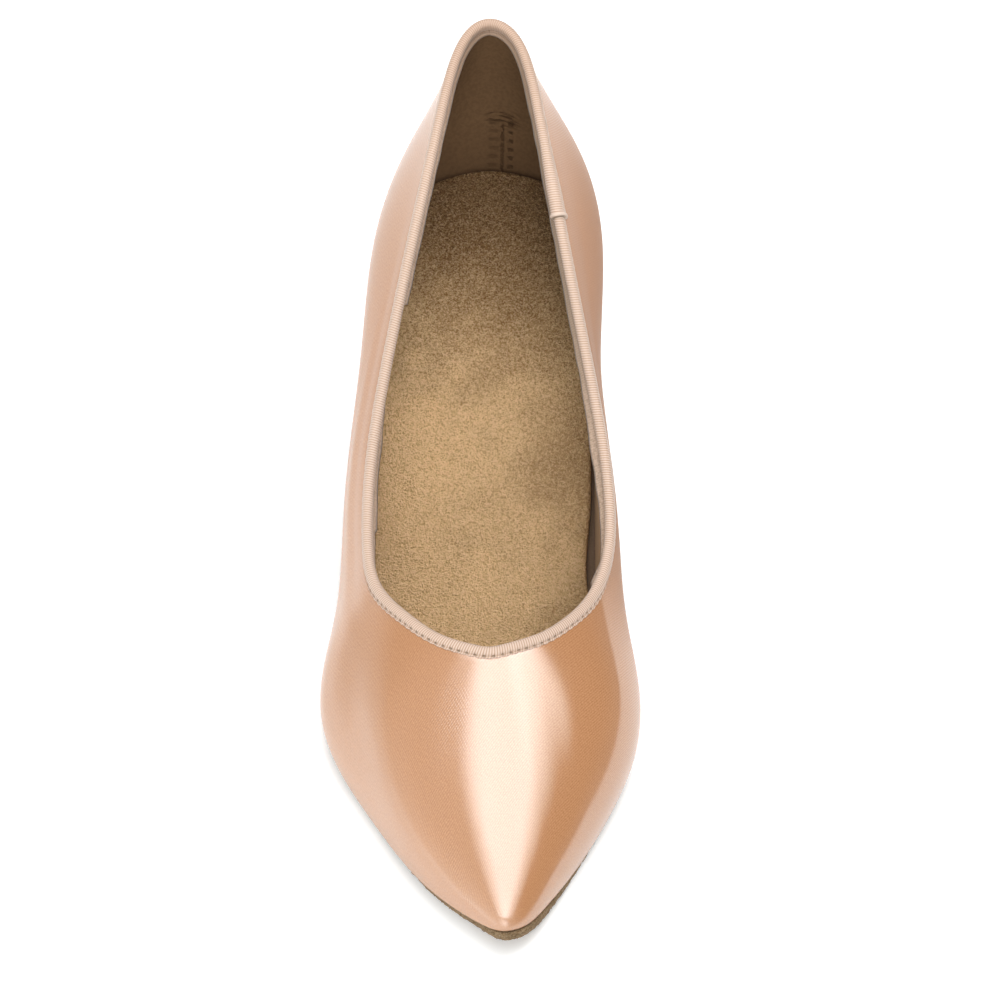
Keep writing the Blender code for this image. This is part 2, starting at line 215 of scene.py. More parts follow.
def sweep(part: Array, start: Array, leaving: Array, arriving: Array, end: Array) -> Array:
    """Return points of cubic curves.

    Args:
        part: Parts of the way along each curve.
        start: The curves' first points.
        leaving: The points that they leave towards.
        arriving: The points that they arrive from.
        end: Their last points.

    Returns:
        The points, a row each.
    """
    t = np.asarray(part, float)[..., None]
    s = 1.0 - t
    return s**3 * start + 3 * s * s * t * leaving + 3 * s * t * t * arriving + t**3 * end


@dataclass
class Last:
    """The last's bottom, feather edge and wall, in millimetres.

    A turn is a place round the last, in sections: 0 at the toe, then the outer side, 12 at
    the heel, then the inner side, and 24 at the toe again.
    """

    sole: float = 2.6  # thickness
    gap: float = 0.3  # between pieces that lie on one another
    thickness: float = 1.3  # of the wall
    spring: float = 6.4  # how far the toe is lifted
    tread: Span = (58.0, 88.0)  # the flat part under the ball, back from the toe
    heel: float = 12.0  # turn
    round: float = 24.0  # turns in all
    step: float = 0.01  # over which slopes are measured
    middle: Point = (-3.83, 120.32, 0.0)  # of the shoe's box: the origin

    def __post_init__(self) -> None:
        """Lay the closed curves through the sections."""
        rows = [self._values(section, -1.0) for section in OUTER_SIDE]
        rows += [self._values(section, 1.0) for section in reversed(INNER_SIDE)]
        rows.append(rows[0])
        self._columns = Spline(range(len(rows)), rows, closed=True)
        self._shank = Spline(*zip(*SHANK), end_slopes=(0.0, SHANK_END_SLOPE))

    @staticmethod
    def _values(row: Section, side: float) -> list[float]:
        """Return a section's numbers for a side, -1 outer or 1 inner."""
        plan = [side * row.out, row.back, side * row.top_out, row.top_back]
        return plan + [row.depth, row.rise, row.flare, row.drop, row.spread, row.sole]

    def bottom(self, back: Array) -> Array:
        """Return the height of the last's bottom.

        Args:
            back: Distances back from the toe.

        Returns:
            The heights over the floor.
        """
        back = np.asarray(back, float)
        start, end = self.tread
        toe = OUTER_SIDE[0].back
        spring = self.spring * (np.clip(start - back, 0.0, None) / (start - toe)) ** 2
        return self.sole + self.gap + spring + self._shank(np.clip(back, end, None))

    def under(self, back: Array, depth: Array | float) -> Array:
        """Return the height of a surface that runs below the last's bottom.

        Args:
            back: Distances back from the toe.
            depth: How far below the bottom it runs, square to it.

        Returns:
            The heights over the floor.
        """
        step = 0.5
        slope = (self.bottom(back + step) - self.bottom(back - step)) / (2.0 * step)
        return self.bottom(back) - depth * np.sqrt(1.0 + slope**2)

    def columns(self, turn: Array) -> Array:
        """Return the sections' numbers at turns."""
        return self._columns(np.mod(turn, self.round))

    def feather(self, turn: Array, inset: Array | float = 0.0) -> Array:
        """Return the feather edge in plan, moved in by an inset."""
        loop = self.columns(turn)[..., :2]
        return loop - self._outward(turn, 0) * np.asarray(inset)[..., None]

    def _outward(self, turn: Array, first: int) -> Array:
        """Return the plan normals of the feather edge or the topline.

        Args:
            turn: Places round the last.
            first: The column in which the loop's coordinates start.

        Returns:
            Outward unit vectors, a row each.
        """
        ahead = self.columns(turn + self.step)[..., first : first + 2]
        behind = self.columns(turn - self.step)[..., first : first + 2]
        along = ahead - behind
        return unit(np.stack([-along[..., 1], along[..., 0]], axis=-1))

    def _guides(self, turn: Array) -> tuple[Array, Array, Array, Array]:
        """Return the points that shape the wall.

        Args:
            turn: Places round the last.

        Returns:
            The feather edge, the two points that give the wall its curve, and the topline.
        """
        out, back, top_out, top_back, depth, rise, flare, drop, spread, _ = np.moveaxis(
            self.columns(turn), -1, 0
        )
        feather = np.stack([out, back, self.bottom(back)], axis=-1)
        topline = np.stack([top_out, top_back, self.bottom(top_back) + depth], axis=-1)
        low, high = self._outward(turn, 0), self._outward(turn, 2)
        leaving = feather + np.stack([low[..., 0] * flare, low[..., 1] * flare, rise], axis=-1)
        arriving = topline + np.stack(
            [high[..., 0] * spread, high[..., 1] * spread, -drop], axis=-1
        )
        return feather, leaving, arriving, topline

    def _wall(self, turn: Array, part: Array) -> Array:
        """Return points of the wall's outer face."""
        return sweep(part, *self._guides(turn))

    def wall(self, turn: Array, part: Array, depth: Array | float = 0.0) -> Array:
        """Return points of the wall.

        Args:
            turn: Places round the last.
            part: Parts of the wall's height, 0 at the feather edge and 1 at the topline.
            depth: How far inside the outer face the points lie.

        Returns:
            The points, a row each.
        """
        points = self._wall(turn, part)
        if np.any(depth):
            depths = np.broadcast_to(depth, part.shape)[..., None]
            points = points - self.wall_out(turn, part) * depths
        return points

    def wall_out(self, turn: Array, part: Array) -> Array:
        """Return the wall's outward normals.

        Args:
            turn: Places round the last.
            part: Parts of the wall's height, 0 at the feather edge and 1 at the topline.

        Returns:
            Unit vectors, a row each.
        """
        step = self.step
        along = self._wall(turn + step, part) - self._wall(turn - step, part)
        up = self._wall(turn, part + step) - self._wall(turn, part - step)
        return unit(np.cross(up, along))

    def lean(self, turn: Array, lift: float) -> Array:
        """Return how far the wall's inner face leans in over the last's bottom.

        Args:
            turn: Places round the last.
            lift: Height over the bottom.

        Returns:
            Distances in from the feather edge.
        """
        parts = np.linspace(0.0, 0.5, 101)
        turns, parts = np.meshgrid(turn, parts, indexing="ij")
        inner = self.wall(turns, parts, self.thickness)
        away = inner[..., :2] - self.columns(turn)[:, None, :2]
        inward = -np.sum(away * self._outward(turn, 0)[:, None], axis=-1)
        up = inner[..., 2] - self.bottom(inner[..., 1])
        return np.array([np.interp(lift, heights, row) for heights, row in zip(up, inward)])

    def reach(self, turn: Array) -> Array:
        """Return how fast the wall arrives at the topline, in millimetres per part."""
        _, _, arriving, topline = self._guides(turn)
        return 3.0 * np.linalg.norm(topline - arriving, axis=-1)

    def topline_frame(self, turn: Array) -> tuple[Array, Array, Array]:
        """Return the topline and its directions.

        Args:
            turn: Places round the last.

        Returns:
            Its points, and unit vectors outward and upward.
        """
        _, _, arriving, topline = self._guides(turn)
        along = self._guides(turn + self.step)[3] - self._guides(turn - self.step)[3]
        outward = unit(np.cross(topline - arriving, along))
        return topline, outward, unit(np.cross(along, outward))

    def turn_at(self, back: float, side: float) -> float:
        """Return the turn at which a side's feather edge is a distance back from the toe."""
        turns = np.linspace(0.0, self.heel, 1201) * (1.0 if side < 0.0 else -1.0)
        return float(np.interp(back, self.columns(turns)[:, 1], turns))

    def world(self, points: Array) -> Array:
        """Turn the last's millimetres into metres in the shoe's frame."""
        return (points - self.middle) * MM


# Grids of points


def link(name: str, data: bpy.types.ID) -> Piece:
    """Put a new object into the scene.

    Args:
        name: The object's name.
        data: Its mesh, light or camera.

    Returns:
        The object.
    """
    thing = bpy.data.objects.new(name, data)
    bpy.context.scene.collection.objects.link(thing)
    return thing


def flat_grid(name: str, columns: int, rows: int, half: float) -> bpy.types.Mesh:
    """Make a flat square mesh on the floor.

    Args:
        name: The mesh's name.
        columns: Number of steps along X.
        rows: Number of steps along Y.
        half: Half the square's side, in metres.

    Returns:
        The mesh.
    """
    shape = bmesh.new()
    bmesh.ops.create_grid(shape, x_segments=columns, y_segments=rows, size=half)
    mesh = bpy.data.meshes.new(name)
    shape.to_mesh(mesh)
    shape.free()
    return mesh


def weave(
    name: str,
    columns: int,
    rows: int,
    place: Place,
    maps: dict[str, Place] | None = None,
) -> Piece:
    """Make a piece from a grid whose points a function puts in place.

    Args:
        name: The piece's name.
        columns: Number of steps along the grid.
        rows: Number of steps across it.
        place: Gives the points, in metres, at the shares 0 to 1 along and the row numbers.
        maps: UV maps, each with a function that gives its coordinates in the same way.

    Returns:
        The piece, its edges welded where they meet and its faces outward.
    """
    mesh = flat_grid(name, columns, rows, 0.5)
    points = np.empty(len(mesh.vertices) * 3)
    mesh.vertices.foreach_get("co", points)
    points = points.reshape(-1, 3)
    share = points[:, 0] + 0.5
    row = np.rint((points[:, 1] + 0.5) * rows).astype(int)
    mesh.vertices.foreach_set("co", place(share, row).ravel())
    corners = np.empty(len(mesh.loops), int)
    mesh.loops.foreach_get("vertex_index", corners)
    for label, chart in (maps or {}).items():
        layer = mesh.uv_layers.new(name=label)
        layer.uv.foreach_set("vector", chart(share, row)[corners].ravel())
    weld(mesh)
    return link(name, mesh)


def weld(mesh: bpy.types.Mesh, distance: float = 1e-6) -> None:
    """Merge doubled vertices, drop flat faces, fill holes and turn the faces outward.

    Args:
        mesh: The mesh to weld.
        distance: How far apart doubled vertices may lie, in metres.
    """
    shape = bmesh.new()
    shape.from_mesh(mesh)
    bmesh.ops.remove_doubles(shape, verts=shape.verts, dist=distance)
    bmesh.ops.dissolve_degenerate(shape, edges=shape.edges, dist=distance)
    holes = [edge for edge in shape.edges if edge.is_boundary]
    if holes:
        bmesh.ops.holes_fill(shape, edges=holes, sides=0)
    bmesh.ops.recalc_face_normals(shape, faces=shape.faces)
    shape.to_mesh(mesh)
    shape.free()
    mesh.shade_smooth()


def dress(piece: Piece, material: Material) -> Piece:
    """Dress a piece and let it ride with the shoe.

    Args:
        piece: The piece.
        material: Its finish.

    Returns:
        The piece.
    """
    piece.data.materials.append(material)
    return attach(piece, BODY)


def pair(along: Array, across: Array) -> Array:
    """Return UV coordinates in metres from millimetres."""
    return np.column_stack([along, across]) * MM


# Shaders


class Wire:
    """A node's output that takes part in Python maths."""

    def __init__(self, bench: Bench, socket: bpy.types.NodeSocket) -> None:
        """Hold the output of a node on a bench."""
        self.bench = bench
        self.socket = socket

    def maths(self, operation: str, *others: Wire | float, swap: bool = False) -> Wire:
        """Add a Math node.

        Args:
            operation: What it works out.
            others: Its other values.
            swap: Whether this value comes last.

        Returns:
            The wire of its result.
        """
        values = [self, *others]
        if swap:
            values.reverse()
        return self.bench.node("ShaderNodeMath", {"operation": operation}, dict(enumerate(values)))

    def __add__(self, other: Wire | float) -> Wire:
        """Add."""
        return self.maths("ADD", other)

    __radd__ = __add__

    def __sub__(self, other: Wire | float) -> Wire:
        """Subtract."""
        return self.maths("SUBTRACT", other)

    def __rsub__(self, other: float) -> Wire:
        """Subtract from a number."""
        return self.maths("SUBTRACT", other, swap=True)

    def __mul__(self, other: Wire | float) -> Wire:
        """Multiply."""
        return self.maths("MULTIPLY", other)

    __rmul__ = __mul__

    def wave(self, length: float) -> Wire:
        """Return a wave of this coordinate, 0 to 1, with a wavelength."""
        return (self * (2.0 * math.pi / length)).maths("COSINE") * 0.5 + 0.5

    def band(self, half: float) -> Wire:
        """Return 1 near 0, falling softly to 0 at a distance."""
        return 1.0 - self.maths("ABSOLUTE").step(0.5 * half, 1.2 * half)

    def step(self, low: float, high: float) -> Wire:
        """Return a soft step from 0 at low to 1 at high."""
        settings = {"interpolation_type": "SMOOTHSTEP"}
        return self.bench.node("ShaderNodeMapRange", settings, {0: self, 1: low, 2: high})


class Bench:
    """The nodes of one material, or of the world."""

    def __init__(self, owner: Material | bpy.types.World) -> None:
        """Clear the nodes of a material or world.

        Args:
            owner: The material or world.
        """
        self.owner = owner
        owner.use_nodes = True
        self.tree = owner.node_tree
        self.tree.nodes.clear()

    @classmethod
    def material(cls, name: str) -> Bench:
        """Return the bench of a new material."""
        return cls(bpy.data.materials.new(name))

    def node(
        self,
        kind: str,
        settings: dict[str, object] | None = None,
        inputs: dict[int | str, object] | None = None,
        output: int | str | None = 0,
    ) -> Wire | None:
        """Add a node.

        Args:
            kind: The node's type.
            settings: Its properties, set before its sockets.
            inputs: A value or a wire for each socket named or numbered.
            output: The output to return, if it has any.

        Returns:
            The wire of that output.
        """
        node = self.tree.nodes.new(kind)
        for name, value in (settings or {}).items():
            setattr(node, name, value)
        for name, value in (inputs or {}).items():
            if isinstance(value, Wire):
                self.tree.links.new(value.socket, node.inputs[name])
            else:
                node.inputs[name].default_value = value
        return None if output is None else Wire(self, node.outputs[output])

    def chart(self, name: str) -> tuple[Wire, Wire]:
        """Return both coordinates of a UV map."""
        return self.plan(self.node("ShaderNodeUVMap", {"uv_map": name}))

    def plan(self, where: Wire) -> tuple[Wire, Wire]:
        """Return the first two coordinates of a vector."""
        split = self.node("ShaderNodeSeparateXYZ", None, {0: where})
        return split, Wire(self, split.socket.node.outputs[1])

    def place(self) -> Wire:
        """Return the object's coordinates."""
        return self.node("ShaderNodeTexCoord", None, None, "Object")

    def stretched(self, where: Wire, scale: Point) -> Wire:
        """Return coordinates with a scale for each axis."""
        return self.node("ShaderNodeVectorMath", {"operation": "MULTIPLY"}, {0: where, 1: scale})

    def point(self, x: Wire, y: Wire) -> Wire:
        """Return a vector of two coordinates."""
        return self.node("ShaderNodeCombineXYZ", None, {0: x, 1: y})

    def distance(self, where: Wire, middle: Point) -> Wire:
        """Return distances from a point."""
        settings = {"operation": "DISTANCE"}
        return self.node("ShaderNodeVectorMath", settings, {0: where, 1: middle}, "Value")

    def noise(self, where: Wire, size: float, detail: float = 2.0, warp: float = 0.0) -> Wire:
        """Return noise, about 0 to 1, with features of a size in metres."""
        inputs = {"Vector": where, "Scale": 1.0 / size, "Detail": detail, "Distortion": warp}
        return self.node("ShaderNodeTexNoise", None, inputs)

    def mix(self, share: Wire | float, low: Wire | Colour, high: Wire | Colour) -> Wire:
        """Return a colour between two."""
        ends = [value if isinstance(value, Wire) else (*value, 1.0) for value in (low, high)]
        return self.node("ShaderNodeMix", {"data_type": "RGBA"}, {0: share, 6: ends[0], 7: ends[1]}, 2)

    def tint(self, share: Wire, colour: Wire, filter_: Colour) -> Wire:
        """Return a colour multiplied by another one, by a share."""
        settings = {"data_type": "RGBA", "blend_type": "MULTIPLY"}
        return self.node("ShaderNodeMix", settings, {0: share, 6: colour, 7: (*filter_, 1.0)}, 2)

    def bump(self, height: Wire, depth: float) -> Wire:
        """Return the normal of a height, 0 to 1, of a depth in metres."""
        return self.node("ShaderNodeBump", None, {"Height": height, "Distance": depth})

    def principled(self, colour: Wire | Colour, **sockets: object) -> Wire:
        """Add a Principled shader.

        Args:
            colour: Its base colour.
            **sockets: Its other sockets, underscores for spaces.

        Returns:
            The wire of the shader.
        """
        inputs = {name.replace("_", " "): value for name, value in sockets.items()}
        inputs["Base Color"] = colour if isinstance(colour, Wire) else (*colour, 1.0)
        return self.node("ShaderNodeBsdfPrincipled", None, inputs)

    def node_out(self, shader: Wire, kind: str = "Material") -> bpy.types.ID:
        """Link a shader to the output and return the material or world."""
        self.node("ShaderNodeOutput" + kind, None, {"Surface": shader}, output=None)
        return self.owner

    def finish(self, colour: Wire | Colour, **sockets: object) -> Material:
        """Close the material with one Principled shader and return it."""
        return self.node_out(self.principled(colour, **sockets))


@dataclass(frozen=True)
class Satin:
    """Shining satin: dyed yarn under floats that gleam alike from every side."""

    name: str = "rose_gold_satin"
    face: Colour = (0.515, 0.262, 0.130)
    # the dyed yarn's deeper colour, also used for the painted shade on the quarters
    deep: Colour = (0.272, 0.123, 0.054)
    line: float = 0.62 * MM  # from line to line
    bead: float = 0.9 * MM  # from thick to thick along a line
    yarn: float = 0.32 * MM
    gleam_index: float = 2.5  # refractive index of the floats, which reflect more at a glance
    gleam_roughness: float = 0.12
    gleam_tint: Colour = (1.0, 0.985, 0.97)
    sheen: float = 0.3
    relief: float = 0.010 * MM
    painted_shade_depth: float = 0.7  # painted shade: how much deeper the colour is, and the gleam weaker, where the inner quarter turns away from the light
    inner_quarter: Span = (0.012, 0.034)  # where that sets in, inwards
    inner_back: Span = (-0.05, 0.0)  # and backwards
    outer_painted_shade_depth: float = 0.21  # the same painted shade for the outer quarter
    outer_quarter: Span = (-0.01, -0.03)
    outer_back: Span = (-0.02, 0.05)
    line_shade: float = 0.62  # how much dyed yarn shows between the lines
    yarn_shade: float = 0.25  # and between the yarns

    def material(self) -> Material:
        """Make the finish, whose UV map runs across the lines and along them.

        Returns:
            The material.
        """
        bench = Bench.material(self.name)
        across, along = bench.chart("cloth")
        place = bench.place()
        inner, back = bench.plan(place)
        # painted shade where the quarters turn away from the light: deeper colour, calmer lines and
        # less gleam
        turned = inner.step(*self.inner_quarter) * back.step(*self.inner_back) * self.painted_shade_depth
        outer = inner.step(*self.outer_quarter) * back.step(*self.outer_back)
        turned = turned + outer * self.outer_painted_shade_depth
        beads = (along + across * 0.5).wave(self.bead)
        lines = across.wave(self.line) * (beads * 0.4 + 0.6) * (1.0 - turned) + turned * 0.4
        threads = bench.stretched(bench.point(across, along), (1.0, 0.5, 1.0))
        yarns = bench.noise(threads, self.yarn, 1.0)
        cloud = bench.noise(place, 0.03, 3.0)
        shade = (1.0 - lines) * self.line_shade + yarns.step(0.35, 0.65) * self.yarn_shade + 0.03
        colour = bench.mix(shade, self.face, self.deep)
        colour = bench.mix(cloud.step(0.3, 0.7) * 0.08, colour, self.deep)
        colour = bench.mix(turned, colour, self.deep)
        normal = bench.bump(lines + yarns * 0.2, self.relief)
        body = bench.principled(colour, Roughness=0.7, Specular_IOR_Level=0.0, Normal=normal)
        gleam = bench.principled(
            colour,
            Roughness=self.gleam_roughness,
            IOR=self.gleam_index,
            Specular_Tint=(*self.gleam_tint, 1.0),
            Sheen_Weight=self.sheen,
            Sheen_Roughness=0.35,
            Normal=normal,
        )
        blend = (lines * 0.9 + yarns * 0.2 + 0.25) * (1.0 - turned)
        mixed = bench.node("ShaderNodeMixShader", None, {0: blend, 1: body, 2: gleam})
        return bench.node_out(mixed)


@dataclass(frozen=True)
class Ribbon:
    """Ribbed ribbon: cords across it under a dull pale weft, with stitch holes in a ditch."""

    binding: CollarBinding
    name: str = "ribbed_ribbon"
    ridge: Colour = (0.535, 0.41, 0.332)
    # the grooves' colour: painted shade between the ribs, in the ditch and round the heel; it also
    # darkens single threads
    groove: Colour = (0.33, 0.20, 0.13)
    flange: Colour = (0.41, 0.285, 0.205)
    # the flange's dark mottle, and painted shade on the flange and under the lap's fold
    dark_mottle_and_shade: Colour = (0.17, 0.115, 0.07)
    hole: Colour = (0.13, 0.085, 0.03)
    # painted shadow in the valley between the roll and the flange
    gap_shadow: Colour = (0.26, 0.17, 0.07)
    # the satin where the hem shows it, deeper than the satin's face: painted shade beside the roll
    satin: Colour = (0.36, 0.18, 0.09)
    relief: float = 0.03 * MM
    flange_shade_inwards: Span = (0.0, 0.012)  # where painted shade darkens the flange, inwards
    flange_shade_backwards: Span = (0.015, 0.05)  # and backwards
    flange_shade_round_heel: Span = (0.080, 0.105)  # and round the heel
    rib_shade_round_heel: Span = (0.06, 0.11)  # where painted shade darkens the ribs, backwards
    hemmed: Span = (-0.028, -0.014)  # behind this the hem is satin and the ditch unstitched
    roll_half: float = 3.6 * MM  # of the roll's width, for the lap

    def material(self) -> Material:
        """Make the finish, whose UV map runs along the ribbon and across it.

        Returns:
            The material.
        """
        bench = Bench.material(self.name)
        slanted, across = bench.chart("ribbon")
        straight = slanted - across * self.binding.slant
        rib = 1.0 - slanted.wave(self.binding.rib * MM)
        flat = bench.point(slanted, across)
        threads = bench.noise(bench.stretched(flat, (1.0, 3.0, 1.0)), 0.25 * MM)
        place = bench.place()
        fuzz = bench.noise(place, 0.55 * MM, 2.0)
        inner, back = bench.plan(place)
        blotch = bench.noise(place, 6.0 * MM, 2.0)
        # painted shade in the grooves between the ribs
        colour = bench.mix(rib.step(0.05, 0.8), self.groove, self.ridge)
        colour = bench.mix(threads.step(0.45, 0.8) * 0.35, colour, self.groove)
        colour = bench.mix(blotch * 0.15, colour, self.ridge)
        flange = bench.mix(fuzz.step(0.35, 0.7) * 0.8, self.flange, self.dark_mottle_and_shade)
        # painted shade on the flange inside the inner quarter and round the heel
        painted_lighting = inner.step(*self.flange_shade_inwards) * back.step(*self.flange_shade_backwards)
        painted_lighting = painted_lighting.maths("MAXIMUM", back.step(*self.flange_shade_round_heel))
        flange = bench.mix(painted_lighting * 0.9, flange, self.dark_mottle_and_shade)
        past = across - self.binding.valley * MM
        colour = bench.mix(past.step(0.0, 0.2 * MM) * 0.75, colour, flange)
        # painted shadow line in the valley beside the roll
        colour = bench.mix(past.band(0.16 * MM) * 0.9, colour, self.gap_shadow)
        side = back.step(*self.hemmed)
        from_ditch = across - self.binding.ditch * MM
        hem = 1.0 - from_ditch.step(0.3 * MM, 0.5 * MM)
        colour = bench.mix(hem * side, colour, self.satin)
        in_ditch = from_ditch.band(0.24 * MM)
        at_stitch = straight.wave(self.binding.stitch * MM).step(0.62, 0.9)
        # painted shade in the ditch
        colour = bench.mix(in_ditch * 0.25, colour, self.groove)
        colour = bench.mix(in_ditch * at_stitch * (1.0 - side) * 0.95, colour, self.hole)
        # painted shade on the ribs round the heel
        colour = bench.mix(back.step(*self.rib_shade_round_heel) * 0.45, colour, self.groove)
        on_roll = (across - self.binding.middle * MM).band(self.roll_half)
        before = straight - self.binding.join * MM
        # painted highlight on the lap's folded lip, and painted shadow just past it
        colour = bench.mix((before + 0.5 * MM).band(0.5 * MM) * on_roll, colour, self.ridge)
        colour = bench.mix((before - 0.15 * MM).band(0.22 * MM) * on_roll, colour, self.dark_mottle_and_shade)
        return bench.finish(
            colour,
            Roughness=0.62,
            Sheen_Weight=0.2,
            Normal=bench.bump(threads + fuzz, self.relief),
        )


class Patch(NamedTuple):
    """A patch on the suede for painted light and painted shade: its middle, its radius and how far it
    takes the colour.
    """

    x: float
    y: float
    radius: float
    share: float


@dataclass(frozen=True)
class Suede:
    """Brushed leather: a short nap in curled tufts, with pits between them darkened by painted shade
    and painted highlight on the tips.
    """

    name: str
    light: Colour
    dark: Colour
    tuft: float = 0.5 * MM
    relief: float = 3.0 * MM
    contrast: float = 1.2
    tip_highlight: Colour = (1.2, 1.27, 1.5)  # times the light colour: painted highlight on the tips of the nap
    bright: Colour = (1.22, 1.22, 1.22)  # times the light colour: the pale patches, painted light
    pit: Colour = (0.42, 0.33, 0.20)  # times the colour: painted shade between the tufts
    matted: Span = (0.02, 0.085)  # where the nap grows coarser, backwards
    pits: Span = (0.56, 0.32)  # heights of the nap over which it darkens with painted shade
    tip_highlight_heights: Span = (0.5, 0.64)  # heights of the nap over which it pales with painted highlight
    # patches of painted light
    pale: tuple[Patch, ...] = ()
    # patches of painted shade
    painted_shade_places: tuple[Patch, ...] = ()

    @staticmethod
    def _patched(
        bench: Bench, where: Wire, colour: Wire, patches: Sequence[Patch], to: Colour
    ) -> Wire:
        """Lay patches of one colour over another.

        Args:
            bench: The material's bench.
            where: Coordinates on the shoe.
            colour: What lies under the patches.
            patches: Where they lie.
            to: Their colour.

        Returns:
            The patched colour.
        """
        for patch in patches:
            away = bench.distance(where, (patch.x, patch.y, 0.0))
            spot = 1.0 - away.step(0.25 * patch.radius, patch.radius)
            colour = bench.mix(spot * patch.share, colour, to)
        return colour

    def material(self) -> Material:
        """Make the finish.

        Returns:
            The material.
        """
        bench = Bench.material(self.name)
        place = bench.place()
        tufts = bench.noise(place, self.tuft, 2.0)
        coarse = bench.noise(place, self.tuft * 2.0, 2.0, 0.2)
        cloud = bench.noise(place, self.tuft * 20.0, 2.0)
        fine = bench.noise(place, self.tuft * 0.5, 1.0)
        nap = tufts * 0.46 + coarse * 0.29 + fine * 0.25
        colour = bench.mix(cloud.step(0.35, 0.7) * 0.12, self.light, self.dark)
        x, y = bench.plan(place)
        wander = (cloud - 0.5) * 0.02
        flat = bench.point(x + wander, y + wander)
        tip, pale = (
            tuple(share * channel for share, channel in zip(filter_, self.light))
            for filter_ in (self.tip_highlight, self.bright)
        )
        # painted light and painted shade in patches
        colour = self._patched(bench, flat, colour, self.pale, pale)
        colour = self._patched(bench, flat, colour, self.painted_shade_places, self.dark)
        behind = y.step(*self.matted)
        strength = (behind * 0.35 + 0.5) * self.contrast
        # painted shade in the pits between the tufts
        colour = bench.tint(nap.step(*self.pits) * strength, colour, self.pit)
        # painted highlight on the tips of the nap
        painted_lighting = nap.step(*self.tip_highlight_heights) * strength * (1.0 - behind * 0.4) * 0.6
        colour = bench.mix(painted_lighting, colour, tip)
        return bench.finish(
            colour,
            Roughness=0.95,
            Specular_IOR_Level=0.25,
            Normal=bench.bump(nap, self.relief),
        )


@dataclass(frozen=True)
class Lining:
    """Dull lining cloth with the back seam, two rows of stitches and a puckered end."""

    name: str = "lining_cloth"
    # the colour at the back, dark there as painted shade
    colour: Colour = (0.162, 0.092, 0.045)
    dark: Colour = (0.07, 0.036, 0.016)
    fore: Colour = (0.45, 0.29, 0.18)  # beside the ball, painted lighter there as painted light
    top: float = 12.5 * MM  # of the seam over the sock
    stitch: float = 2.65 * MM
    rows: tuple[Span, ...] = ((2.3 * MM, 0.8 * MM), (-2.7 * MM, 1.6 * MM))  # place, half width
    relief: float = 0.25 * MM
    painted_shade_places: Span = (0.02, 0.06)  # painted shade: where it grows dark, backwards

    def material(self) -> Material:
        """Make the finish, whose UV map runs across the back seam and up from the sock.

        Returns:
            The material.
        """
        bench = Bench.material(self.name)
        across, up = bench.chart("seam")
        rough = bench.noise(bench.point(across, up), 1.3 * MM, 2.0)
        across = across + (rough - 0.5) * (1.4 * MM)
        below = 1.0 - up.step(self.top, self.top + 1.5 * MM)
        line = across.band(0.5 * MM) * below * rough.step(0.3, 0.5)
        ends = 1.0 - up.step(self.top + 1.0 * MM, self.top + 2.0 * MM)
        dots = (up + (rough - 0.5) * (0.8 * MM)).wave(self.stitch).step(0.45, 0.85) * ends
        right, left = ((across - row).band(half) for row, half in self.rows)
        stitched = (right + left * 0.5) * dots
        bowed = up + across * across * (1.0 / (30.0 * MM))
        gathers = bench.stretched(bench.point(across, bowed), (0.18, 1.0, 1.0))
        puckers = bench.noise(gathers, 0.9 * MM, 1.0).step(0.48, 0.62)
        puckered = puckers * (up - (self.top + 2.2 * MM)).band(3.0 * MM) * across.band(5.5 * MM)
        # the seam and the stitches are dark marks; the puckers' dark is painted shade in their folds
        marks = line * 0.85 + stitched * 0.9 + puckered * 0.85
        place = bench.place()
        _, back = bench.plan(place)
        grain = bench.noise(place, 0.9 * MM, 3.0)
        colour = bench.mix(grain.step(0.35, 0.7) * 0.3, self.colour, self.dark)
        # painted shade at the back, deepest next to the sock, and painted light beside the ball
        behind = back.step(*self.painted_shade_places)
        colour = bench.mix((1.0 - up.step(0.0, 0.016)) * behind * 0.35, colour, self.dark)
        colour = bench.mix((1.0 - behind) * 0.8, colour, self.fore)
        colour = bench.mix(marks, colour, self.dark)
        normal = bench.bump(grain * 0.15 - marks, self.relief)
        return bench.finish(colour, Roughness=0.9, Specular_IOR_Level=0.15, Normal=normal)


@dataclass(frozen=True)
class Plain:
    """A dull finish with a fine grain: canvas or rubber."""

    name: str
    colour: Colour
    roughness: float = 0.8
    grain: float = 0.5 * MM
    relief: float = 0.05 * MM
    contrast: float = 0.25

    def material(self) -> Material:
        """Make the finish.

        Returns:
            The material.
        """
        bench = Bench.material(self.name)
        place = bench.place()
        grain = bench.noise(place, self.grain, 3.0)
        dark = tuple(0.55 * channel for channel in self.colour)
        colour = bench.mix(grain.step(0.35, 0.75) * self.contrast, self.colour, dark)
        return bench.finish(colour, Roughness=self.roughness, Normal=bench.bump(grain, self.relief))


SOCK_SUEDE = Suede(
    "sock_suede",
    light=(0.775, 0.508, 0.262),
    dark=(0.27, 0.15, 0.061),
    # painted light on the sock's outer side
    pale=(
        Patch(-0.020, 0.030, 0.026, 0.7),
        Patch(-0.022, -0.005, 0.030, 0.5),
        Patch(-0.004, -0.010, 0.024, 0.5),
    ),
    # painted shade in the heel cup, along the inner wall and in the outer corner at the back
    painted_shade_places=(
        Patch(0.004, 0.108, 0.074, 0.92),
        Patch(0.016, 0.060, 0.022, 0.35),
        Patch(-0.014, 0.090, 0.020, 0.5),
        Patch(0.036, -0.015, 0.028, 0.45),
        Patch(0.030, 0.028, 0.026, 0.5),
        Patch(-0.014, 0.100, 0.018, 0.8),
    ),
)
SOLE_SUEDE = Suede(
    "sole_suede",
    light=(0.40, 0.27, 0.15),
    dark=(0.07, 0.042, 0.018),
    contrast=1.4,
)
